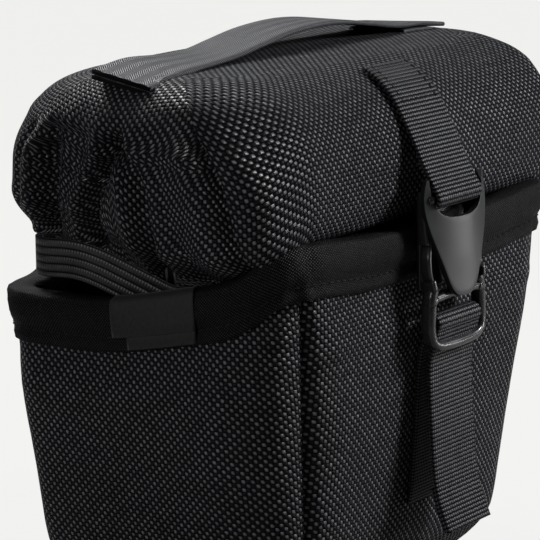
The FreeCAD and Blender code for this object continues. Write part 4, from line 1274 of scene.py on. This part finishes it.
@dataclass(frozen=True)
class Stitching:
    """A row of lock stitches along a line, laid by a node tree."""
    pitch: float = 3.4            # millimetres from one stitch to the next
    length: float = 2.3
    thick: float = 0.42
    seed: int = 7

    def tree(self) -> bpy.types.NodeTree:
        """The node tree: resample the line, lay a stitch at each point, make them real.

        Returns:
            The tree, made the first time and shared by every row.
        """
        name = "stitch_row"
        if name in bpy.data.node_groups:
            return bpy.data.node_groups[name]
        tree = bpy.data.node_groups.new(name, "GeometryNodeTree")
        face = tree.interface
        face.new_socket("Line", in_out="INPUT", socket_type="NodeSocketGeometry")
        for label in ("Pitch", "Stitch Length", "Thread Width"):
            face.new_socket(label, in_out="INPUT", socket_type="NodeSocketFloat")
        face.new_socket("Seed", in_out="INPUT", socket_type="NodeSocketInt")
        face.new_socket("Thread", in_out="INPUT", socket_type="NodeSocketMaterial")
        face.new_socket("Stitches", in_out="OUTPUT", socket_type="NodeSocketGeometry")
        given = add(tree, "NodeGroupInput")
        line = add(tree, "GeometryNodeMeshToCurve", {0: given.outputs["Line"]})
        even = add(tree, "GeometryNodeResampleCurve", {"Curve": line.outputs[0], "Length": given.outputs["Pitch"]},
                   mode="LENGTH")
        tangent = add(tree, "GeometryNodeInputTangent")
        jitter = add(tree, "FunctionNodeRandomValue", {"Min": (-0.12, -0.12, -0.12), "Max": (0.12, 0.12, 0.12),
                                                       "Seed": given.outputs["Seed"]}, data_type="FLOAT_VECTOR")
        lean = add(tree, "ShaderNodeVectorMath", {0: tangent.outputs[0], 1: jitter.outputs[0]}, operation="ADD")
        turn = add(tree, "FunctionNodeAlignRotationToVector", {"Vector": lean.outputs[0]}, axis="X")
        half = add(tree, "ShaderNodeMath", {0: given.outputs["Stitch Length"], 1: 0.5}, operation="MULTIPLY")
        thin = add(tree, "ShaderNodeMath", {0: given.outputs["Thread Width"], 1: 0.5}, operation="MULTIPLY")
        size = add(tree, "ShaderNodeCombineXYZ", {0: half.outputs[0], 1: thin.outputs[0], 2: thin.outputs[0]})
        bead = add(tree, "GeometryNodeMeshUVSphere", {"Segments": 8, "Rings": 8, "Radius": 1.0})
        rows = add(tree, "GeometryNodeInstanceOnPoints", {"Points": even.outputs[0], "Instance": bead.outputs[0],
                                                          "Rotation": turn.outputs[0], "Scale": size.outputs[0]})
        real = add(tree, "GeometryNodeRealizeInstances", {0: rows.outputs[0]})
        smooth = add(tree, "GeometryNodeSetShadeSmooth", {0: real.outputs[0]})
        done = add(tree, "GeometryNodeSetMaterial", {0: smooth.outputs[0], "Material": given.outputs["Thread"]})
        add(tree, "NodeGroupOutput", {0: done.outputs[0]})
        return tree

    def sew(self, name: str, lines: Sequence[np.ndarray], thread: bpy.types.Material, body: str, slot: str,
            closed: bool = False) -> bpy.types.Object:
        """Sew rows of stitches.

        Args:
            name: The piece's name.
            lines: Points of each row, in millimetres.
            thread: The thread's material.
            body: The body that they ride on.
            slot: The record's slot that they belong to.
            closed: Whether each row is a loop.

        Returns:
            The stitches as one plain mesh.
        """
        mesh = bpy.data.meshes.new(name)
        points, edges, start = [], [], 0
        for line in lines:
            n = len(line)
            points += (line * MM).tolist()
            edges += [(start + k, start + k + 1) for k in range(n - 1)] + ([(start + n - 1, start)] if closed else [])
            start += n
        mesh.from_pydata(points, edges, [])
        thing = bpy.data.objects.new(name, mesh)
        bpy.context.scene.collection.objects.link(thing)
        nodes = thing.modifiers.new("stitches", "NODES")
        nodes.node_group = self.tree()
        values = {"Pitch": self.pitch * MM, "Stitch Length": self.length * MM, "Thread Width": self.thick * MM,
                  "Seed": self.seed, "Thread": thread}
        for item in nodes.node_group.interface.items_tree:
            if item.in_out == "INPUT" and item.name in values:
                nodes[item.identifier] = values[item.name]
        return declare(bake(thing), body, slot)


# ------------------------------------------------------------------ straps and handle

@dataclass
class Straps:
    """The webbing that runs from the lid to the buckle and from the buckle to the pouch's front."""
    finishes: Finishes
    thick: float = 1.6
    loop_radius: float = 2.6      # of the webbing round the female half's bar
    lock_radius: float = 2.5      # of the webbing round the ladder lock's bar
    seam: float = 9.5             # from the middle to the rows of stitches along the strap
    hem_height: float = 34.0      # of the row of stitches across the tail
    hem_seam: float = 10.5        # half the length of that row

    def __post_init__(self) -> None:
        """Read the strap's width from the frame."""
        self.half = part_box("upper_strap")[1].x / MM
        self.section = rounded_section(2 * self.half, self.thick, self.thick * 0.48, flat_steps=16)

    def ribbon(self, name: str, points: Sequence[Pair], count: int, material: bpy.types.Material
               ) -> tuple[bpy.types.Object, np.ndarray]:
        """A length of webbing in the middle plane.

        Args:
            name: Its name.
            points: (y, z) of a few points on its path.
            count: How many points to work out.
            material: Its finish.

        Returns:
            The webbing and its centre line.
        """
        path = curve_through([(0.0, y, z) for y, z in points], count)
        return dress(sweep(name, path, SIDEWAYS, self.section), material), path

    def bar_of(self, node: str) -> Pair:
        """Middle of the bar, as (y, z), that a loop of webbing goes round."""
        low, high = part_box(node)
        return (low.y + high.y) / 2 / MM, (low.z + high.z) / 2 / MM

    def face(self, path: np.ndarray, aside: float = 0.0) -> np.ndarray:
        """A line on the outer face of the webbing, where stitches lie.

        Args:
            path: The webbing's centre line.
            aside: Distance from its middle.

        Returns:
            The line.
        """
        tangent = np.gradient(path, axis=0)
        tangent /= np.linalg.norm(tangent, axis=1, keepdims=True)
        side = np.array(SIDEWAYS)
        return path + side * aside - np.cross(side, tangent) * (self.thick / 2 + 0.1)

    def build_upper(self) -> list[bpy.types.Object]:
        """The strap sewn over the lid's front edge, down to its loop round the buckle's bar, and its stitches.

        Returns:
            The strap and the stitches.
        """
        arc = ring_of((-26.0, 139.5), 31.3, [116, 124, 134, 144, 153])
        ring = ring_of(self.bar_of("upper_strap_loop"), self.loop_radius, [150, 200, 250, 300, 350, 400, 440])
        strap, path = self.ribbon("upper_strap_webbing", arc + [(-58.2, 146.0), (-61.6, 139.0), (-65.0, 133.0)] + ring
                                  + [(-63.2, 134.6), (-60.2, 139.6)], 150, self.finishes.webbing)
        declare(strap, "lid", "webbing", "upper_strap", "upper_strap_loop")
        left, right = self.face(path, -self.seam), self.face(path, self.seam)
        first, last = 3, 33       # points of the path between which the strap is sewn down
        sides = [self.face(path[first:last + 1], aside) for aside in (-self.seam, self.seam)]
        ends = [np.linspace(left[k], right[k], 12) for k in (first, last)]
        stitching = Stitching(pitch=2.6, length=2.0, thick=0.45)
        stitches = stitching.sew("upper_strap_stitches", sides + ends, self.finishes.thread, "lid", "webbing")
        return [strap, stitches]

    def build_tail(self) -> list[bpy.types.Object]:
        """The webbing through the ladder lock and its free tail, kicked out at its hem, and the hem's stitches.

        Returns:
            The webbing and the stitches.
        """
        ring = ring_of(self.bar_of("strap_bar_loop"), self.lock_radius, [20, 60, 100, 140, 180, 225])
        tail = [(-66.0, 82.5), (-64.2, 76.0), (-64.0, 68.0), (-64.6, 56.0), (-65.4, 44.0), (-66.4, 35.0), (-68.4, 28.0),
                (-71.4, 20.6)]
        strap, path = self.ribbon("strap_tail_webbing", ring + tail, 130, self.finishes.webbing)
        fold, _ = self.ribbon("strap_hem", [(-70.1, 20.4), (-67.0, 27.8), (-65.2, 34.4)], 26, self.finishes.webbing)
        strap = join("strap_tail_webbing", [strap, fold])
        declare(strap, "buckle_male", "webbing", "strap_tail", "strap_bar_loop")
        row = self.face(path)[int(np.argmin(np.abs(path[:, 2] - self.hem_height)))]
        hem = np.linspace(row - (self.hem_seam, 0, 0), row + (self.hem_seam, 0, 0), 14)
        stitching = Stitching(pitch=2.4, length=1.9, thick=0.45)
        stitches = stitching.sew("strap_hem_stitches", [hem], self.finishes.thread, "buckle_male", "webbing")
        return [strap, stitches]

    def build_lower(self) -> list[bpy.types.Object]:
        """The anchored strap behind the tail, from the ladder lock's bar to its seam low on the front.

        Returns:
            The strap.
        """
        low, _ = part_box("lower_strap")
        strap, _ = self.ribbon("lower_strap_webbing", [(-62.6, 84.5), (-60.6, 79.0), (-59.4, 70.0), (-58.6, 56.0),
                                                       (-57.4, 42.0), (-56.6, 33.0), (-55.6, low.z / MM)], 70,
                               self.finishes.fine_webbing)
        declare(strap, "pouch", "webbing", "lower_strap")
        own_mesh(strap)
        return [strap]


@dataclass
class Handle:
    """The carry handle: a flat web arched over the lid, with doubled ends."""
    finishes: Finishes
    thick: float = 1.5
    left_tip: float = -11.0       # degrees that the near edge tips down at the left end
    right_tip: float = 4.0

    def build(self) -> list[bpy.types.Object]:
        """The arched web and its two doubled ends.

        Returns:
            The web, then the left end and the right one.
        """
        low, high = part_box("carry_handle")
        reach, near, far = high.x / MM, low.y / MM - 2.0, high.y / MM + 0.5
        middle, width = (near + far) / 2, far - near
        knots = [(-reach - 0.3, 169.4), (-68, 171.6), (-52, 171.8), (-38, 172.4), (-25, 174.4), (-10, 176.6),
                 (7, 177.6), (22, 177.0), (40, 174.6), (55, 172.4), (68, 171.6), (reach, 169.6)]
        path = curve_through([(x, middle, z) for x, z in knots], 180)
        section = rounded_section(width, self.thick, self.thick * 0.48, flat_steps=16)

        def lean(share: float, outline: np.ndarray) -> np.ndarray:
            """The section, tipped towards the ends.

            Args:
                share: Share of the path.
                outline: The level section.

            Returns:
                The section there.
            """
            tip = math.radians(self.left_tip) * float(1 - smoothstep(0.0, 0.3, share))
            tip += math.radians(self.right_tip) * float(smoothstep(0.8, 1.0, share))
            c, s = math.cos(tip), math.sin(tip)
            return np.stack([outline[:, 0] * c - outline[:, 1] * s, outline[:, 0] * s + outline[:, 1] * c], axis=1)

        web = dress(sweep("handle_web", path, BACKWARD, section, lean), self.finishes.handle)
        pieces = [declare(web, "lid", "handle_webbing", "carry_handle")]
        for name, sign in (("left", -1.0), ("right", 1.0)):
            line = [(sign * (reach + 0.3), middle, 167.7), (sign * 76, middle, 169.3), (sign * 68, middle, 170.0),
                    (sign * 57, middle, 170.2)]
            under = sweep(f"handle_end_{name}", curve_through(line, 40), BACKWARD, section, lean if sign < 0 else None)
            dress(under, self.finishes.handle)
            pieces.append(declare(under, "lid", "handle_webbing", f"handle_anchor_{name}"))
        return pieces


# ------------------------------------------------------------------ buckle

@dataclass
class Buckle:
    """The side-release buckle: a satin female half with a convex tongue, and a male half with glossy arms."""
    finishes: Finishes
    crown: float = 3.3            # how far the tongue's middle stands proud of its edges
    tilt: float = 3.2             # how far its top leans back towards the lid
    thick: float = 2.2
    bevel: float = 0.55
    tip: float = 96.0             # height of the tongue's tip
    tongue: float = 38.0          # length of the tongue
    tongue_y: float = -68.2       # its face, before the crown
    back_y: float = -62.0         # the back plate's face
    back_thick: float = 1.5
    frame_y: float = -65.4        # middle of the male half's frame
    arm_y: float = -64.6          # middle of the arms

    def plate(self, name: str, low: np.ndarray, high: np.ndarray, depth: Callable, thick: float) -> bpy.types.Object:
        """A curved plate, mirrored about the middle, between two half outlines.

        Args:
            name: Its name.
            low: (x, z) of the lower outline, from the middle out.
            high: The same for the upper outline.
            depth: Gives y for x and z.
            thick: Its thickness, added behind.

        Returns:
            The plate.
        """
        count, across = len(low), 14
        columns = []
        for sign in (-1.0, 1.0):
            order = range(count - 1, -1, -1) if sign < 0 else range(1, count)
            columns += [[(sign * ((1 - t) * low[k][0] + t * high[k][0]), (1 - t) * low[k][1] + t * high[k][1])
                         for t in np.linspace(0, 1, across)] for k in order]
        grid = np.array(columns)
        m, n = grid.shape[:2]
        x, z = grid[..., 0], grid[..., 1]
        points = np.stack([x, depth(x, z), z], axis=-1).reshape(-1, 3)
        faces = [(a * n + b, (a + 1) * n + b, (a + 1) * n + b + 1, a * n + b + 1) for a in range(m - 1)
                 for b in range(n - 1)]
        thing = mesh_object(name, points, faces)
        solid = thing.modifiers.new("thick", "SOLIDIFY")
        solid.thickness, solid.offset = thick * MM, -1.0
        edge = thing.modifiers.new("edge", "BEVEL")
        edge.width, edge.segments, edge.limit_method, edge.angle_limit = self.bevel * MM, 3, "ANGLE", math.radians(50)
        return bake(thing)

    def rod(self, name: str, points: Sequence[Triple], width: float, depth: float, count: int,
            across: Triple = BACKWARD) -> bpy.types.Object:
        """A moulded bar.

        Args:
            name: Its name.
            points: A few points on its path.
            width: Its size square to across.
            depth: Its size along across.
            count: How many points of the path to work out.
            across: The direction of its depth.

        Returns:
            The bar.
        """
        section = rounded_section(depth, width, min(width, depth) * 0.42, flat_steps=3)
        return sweep(name, curve_through(points, count), across, section)

    def build_female(self) -> list[bpy.types.Object]:
        """The female half: tongue, cheeks, back plate and strap bar.

        Returns:
            The female half.
        """
        low = curve_through([(0, 96), (3.2, 96.4), (5.6, 98.0), (7.6, 101.0), (9.5, 105.4), (11.5, 110), (13.4, 114.6),
                             (15.0, 119), (16.1, 123.4), (16.4, 127), (16.0, 130.8), (15.0, 134.2)], 44)
        high = curve_through([(0, 121.4), (5, 121.7), (9, 122.8), (11.6, 125.0), (13.2, 128.4), (13.9, 131.6),
                              (14.2, 134.4)], 44)

        def front(x: np.ndarray, z: np.ndarray) -> np.ndarray:
            """The tongue's face: crowned across, and leaning back towards its top.

            Args:
                x: Distance from the middle.
                z: Height.

            Returns:
                y at each point.
            """
            share = np.clip((z - self.tip) / self.tongue, 0, 1.05)
            crown = self.crown * (1 - (x / 17.0) ** 2) * (0.55 + 0.45 * share)
            return self.tongue_y - crown + self.tilt * share - 0.06 * x

        def back(x: np.ndarray, _: np.ndarray) -> np.ndarray:
            """The back plate's flat face."""
            return np.full_like(x, self.back_y)

        parts = [dress(self.plate("buckle_female_tongue", low, high, front, self.thick), self.finishes.satin)]
        back_low = np.array([(x, 99.0) for x in np.linspace(0, 14.2, 12)])
        back_high = np.array([(x, 131.0 - 0.02 * x * x) for x in np.linspace(0, 14.2, 12)])
        parts.append(self.plate("buckle_back", back_low, back_high, back, self.back_thick))
        for sign in (-1.0, 1.0):
            below = [(sign * 14.2, -65.6, 99.2), (sign * 14.6, -65.4, 101.0), (sign * 14.7, -65.2, 102.4)]
            above = [(sign * 14.2, -63.6, 113.6), (sign * 14.4, -62.9, 119.0), (sign * 14.3, -62.6, 124.0),
                     (sign * 13.8, -62.6, 130.0)]
            parts += [self.rod("buckle_cheek", below, width=1.9, depth=5.4, count=6),
                      self.rod("buckle_cheek", above, width=1.8, depth=3.4, count=24)]
        parts.append(self.rod("buckle_bar", [(-14.5, -65.1, 128.0), (0, -65.1, 128.0), (14.5, -65.1, 128.0)],
                              width=2.6, depth=2.6, count=12, across=UPWARD))
        for part in parts[1:]:
            dress(part, self.finishes.gloss)
        return [declare(join("buckle_female_shell", parts), "lid", "buckle_satin", "buckle_female")]

    def build_male(self) -> list[bpy.types.Object]:
        """The male half's frame: shoulder, rails, curved release bar, ladder bar and prong.

        Returns:
            The frame.
        """
        y = self.frame_y
        ring = [(-12.5, y, 96.6), (-14.4, y, 95.2), (-14.9, y, 91.0), (-14.9, y, 86.0), (-13.6, y - 0.3, 82.4),
                (-9.5, y - 0.6, 80.9), (0, y - 0.8, 80.5), (9.5, y - 0.6, 80.9), (13.6, y - 0.3, 82.4), (14.9, y, 86.0),
                (14.9, y, 91.0), (14.4, y, 95.2), (12.5, y, 96.6)]
        shoulder = [(-14.0, y, 96.2), (0, y, 96.9), (14.0, y, 96.2)]
        ladder = [(-14.2, y + 0.3, 88.0), (14.2, y + 0.3, 88.0)]
        prong = [(0, y + 0.6, 97.0), (0, y + 0.6, 106.0), (0, y + 0.6, 113.5)]
        parts = [self.rod("buckle_male_frame", ring, width=3.2, depth=4.8, count=90),
                 self.rod("shoulder", shoulder, width=2.6, depth=4.2, count=24),
                 self.rod("ladder", ladder, width=2.0, depth=2.2, count=8),
                 self.rod("prong", prong, width=4.6, depth=1.8, count=14)]
        for sign in (-1.0, 1.0):
            lobe = [(sign * 13.2, y, 99.6), (sign * 14.2, y, 97.4), (sign * 14.6, y, 94.6)]
            parts.append(self.rod("lobe", lobe, width=3.4, depth=4.8, count=10))
        thing = dress(join("buckle_male_frame_shell", parts), self.finishes.gloss)
        return [declare(thing, "buckle_male", "buckle_gloss", "buckle_male_frame")]

    def build_arms(self) -> list[bpy.types.Object]:
        """The two sprung arms.

        Returns:
            The left arm and the right one.
        """
        y, arms = self.arm_y, []
        for name, sign in (("left", -1.0), ("right", 1.0)):
            points = [(sign * 12.6, y, 98.0), (sign * 13.6, y, 101.6), (sign * 14.8, y, 105.4),
                      (sign * 14.8, y + 0.3, 109.6), (sign * 13.4, y + 0.8, 112.8), (sign * 11.8, y + 1.2, 115.4)]
            arm = self.rod(f"buckle_arm_{name}_shell", points, width=1.7, depth=3.8, count=50)
            dress(arm, self.finishes.gloss)
            arms.append(declare(arm, f"arm_{name}", "buckle_gloss", f"buckle_arm_{name}"))
        return arms


# ------------------------------------------------------------------ stage

@dataclass(frozen=True)
class Lamp:
    """A square soft light."""
    name: str
    place: Triple
    width: float
    power: float                  # watts


@dataclass
class Studio:
    """Floor, lights and camera."""
    paper: str = "#f1f1ef"        # as the camera sees it
    matt: str = "#8c8c8b"         # as the object sees it, with little bounce
    bare: float = 0.93            # share of the camera's view of the floor that takes no shadow
    reach: float = 6000.0         # from the middle of the floor to its edge
    azimuth: float = -54.26       # degrees
    elevation: float = 11.61
    roll: float = -0.013          # radians
    distance: float = 926.0
    lens: float = 186.0
    sensor: float = 36.0
    aim: Triple = (0.0, 0.0, 90.0)
    shift: Pair = (-5.35, 6.24)   # how far the camera stands aside and up from the line to aim
    lamps: Sequence[Lamp] = (
        Lamp("key", (400.0, -480.0, 430.0), width=170.0, power=6.0),
        Lamp("fill", (-760.0, 60.0, 420.0), width=260.0, power=2.2),
        Lamp("top", (220.0, 480.0, 700.0), width=320.0, power=7.0),
        Lamp("strip", (640.0, -620.0, 60.0), width=150.0, power=1.1))

    def build(self) -> None:
        """Set everything up."""
        self.build_room()
        self.build_lights()
        self.build_camera()

    def build_room(self) -> None:
        """A pale floor that the camera sees at the paper's own colour, and a world that is dim for all but it."""
        material = bpy.data.materials.new("matt_paper_sweep")
        material.use_nodes = True
        tree = material.node_tree
        tree.nodes.clear()
        path = add(tree, "ShaderNodeLightPath")
        share = add(tree, "ShaderNodeMath", {0: path.outputs["Is Camera Ray"], 1: self.bare}, operation="MULTIPLY")
        matt = add(tree, "ShaderNodeBsdfDiffuse", {"Color": linear(self.matt)})
        glow = add(tree, "ShaderNodeEmission", {"Color": linear(self.paper), "Strength": 1.06})
        mix = add(tree, "ShaderNodeMixShader", {0: share.outputs[0], 1: matt.outputs[0], 2: glow.outputs[0]})
        add(tree, "ShaderNodeOutputMaterial", {0: mix.outputs[0]})
        corners = np.array([(-1, -1, 0), (1, -1, 0), (1, 1, 0), (-1, 1, 0)], float) * self.reach
        floor = mesh_object("floor", corners, [(0, 1, 2, 3)])
        dress(floor, material)
        world = bpy.data.worlds.new("studio")
        bpy.context.scene.world = world
        world.use_nodes = True
        tree = world.node_tree
        tree.nodes.clear()
        path = add(tree, "ShaderNodeLightPath")
        dim = add(tree, "ShaderNodeBackground", {"Color": linear("#ffffff"), "Strength": 0.05})
        plain = add(tree, "ShaderNodeBackground", {"Color": linear(self.paper), "Strength": 1.0})
        mix = add(tree, "ShaderNodeMixShader", {0: path.outputs["Is Camera Ray"], 1: dim.outputs[0],
                                                2: plain.outputs[0]})
        add(tree, "ShaderNodeOutputWorld", {0: mix.outputs[0]})

    def build_lights(self) -> None:
        """A key from the front right, a weak fill from the left, a broad top light behind, a low light at the right."""
        for lamp in self.lamps:
            data = bpy.data.lights.new(lamp.name, "AREA")
            data.shape, data.size, data.energy = "SQUARE", lamp.width * MM, lamp.power
            thing = bpy.data.objects.new(lamp.name, data)
            thing.location = Vector(lamp.place) * MM
            aim = Vector(self.aim) * MM - thing.location
            thing.rotation_euler = aim.to_track_quat("-Z", "Y").to_euler()
            bpy.context.scene.collection.objects.link(thing)

    def build_camera(self) -> None:
        """The camera at the studio's angle."""
        a, e = math.radians(self.azimuth), math.radians(self.elevation)
        back = Vector((math.sin(a) * math.cos(e), -math.cos(a) * math.cos(e), math.sin(e)))
        right = (-back).cross(Vector((0, 0, 1))).normalized()
        up = right.cross(-back)
        c, s = math.cos(self.roll), math.sin(self.roll)
        right, up = c * right + s * up, -s * right + c * up
        lens = bpy.data.cameras.new("camera")
        lens.lens, lens.sensor_width = self.lens, self.sensor
        lens.clip_start, lens.clip_end = 0.01, 50.0
        camera = bpy.data.objects.new("camera", lens)
        place = Vector(self.aim) + self.shift[0] * right + self.shift[1] * up + self.distance * back
        matrix = np.eye(4)
        matrix[:3, :3], matrix[:3, 3] = np.array([right, up, back]).T, np.array(place) * MM
        camera.matrix_world = Matrix(matrix.tolist())
        bpy.context.scene.collection.objects.link(camera)
        bpy.context.scene.camera = camera
        bpy.context.scene.view_settings.view_transform = "Standard"


def main() -> None:
    """Build the pouch and its studio."""
    logging.basicConfig(level=logging.INFO, format="%(message)s")
    finishes = Finishes()
    body = PouchBody(Plan(front_turn=26.0), finishes)
    lid = Lid(Plan(front_turn=64.0), finishes)
    straps = Straps(finishes)
    handle, buckle = Handle(finishes), Buckle(finishes)
    for make in (body.build_shell, body.build_binding, body.build_label, lid.build_shell, lid.build_elastics,
                 lid.build_hinge, straps.build_upper, straps.build_tail, straps.build_lower, handle.build,
                 buckle.build_female, buckle.build_male, buckle.build_arms):
        for thing in make():
            LOG.info("%s: %d faces", thing.name, len(thing.data.polygons))
    Studio().build()


if __name__ == "__main__":
    main()
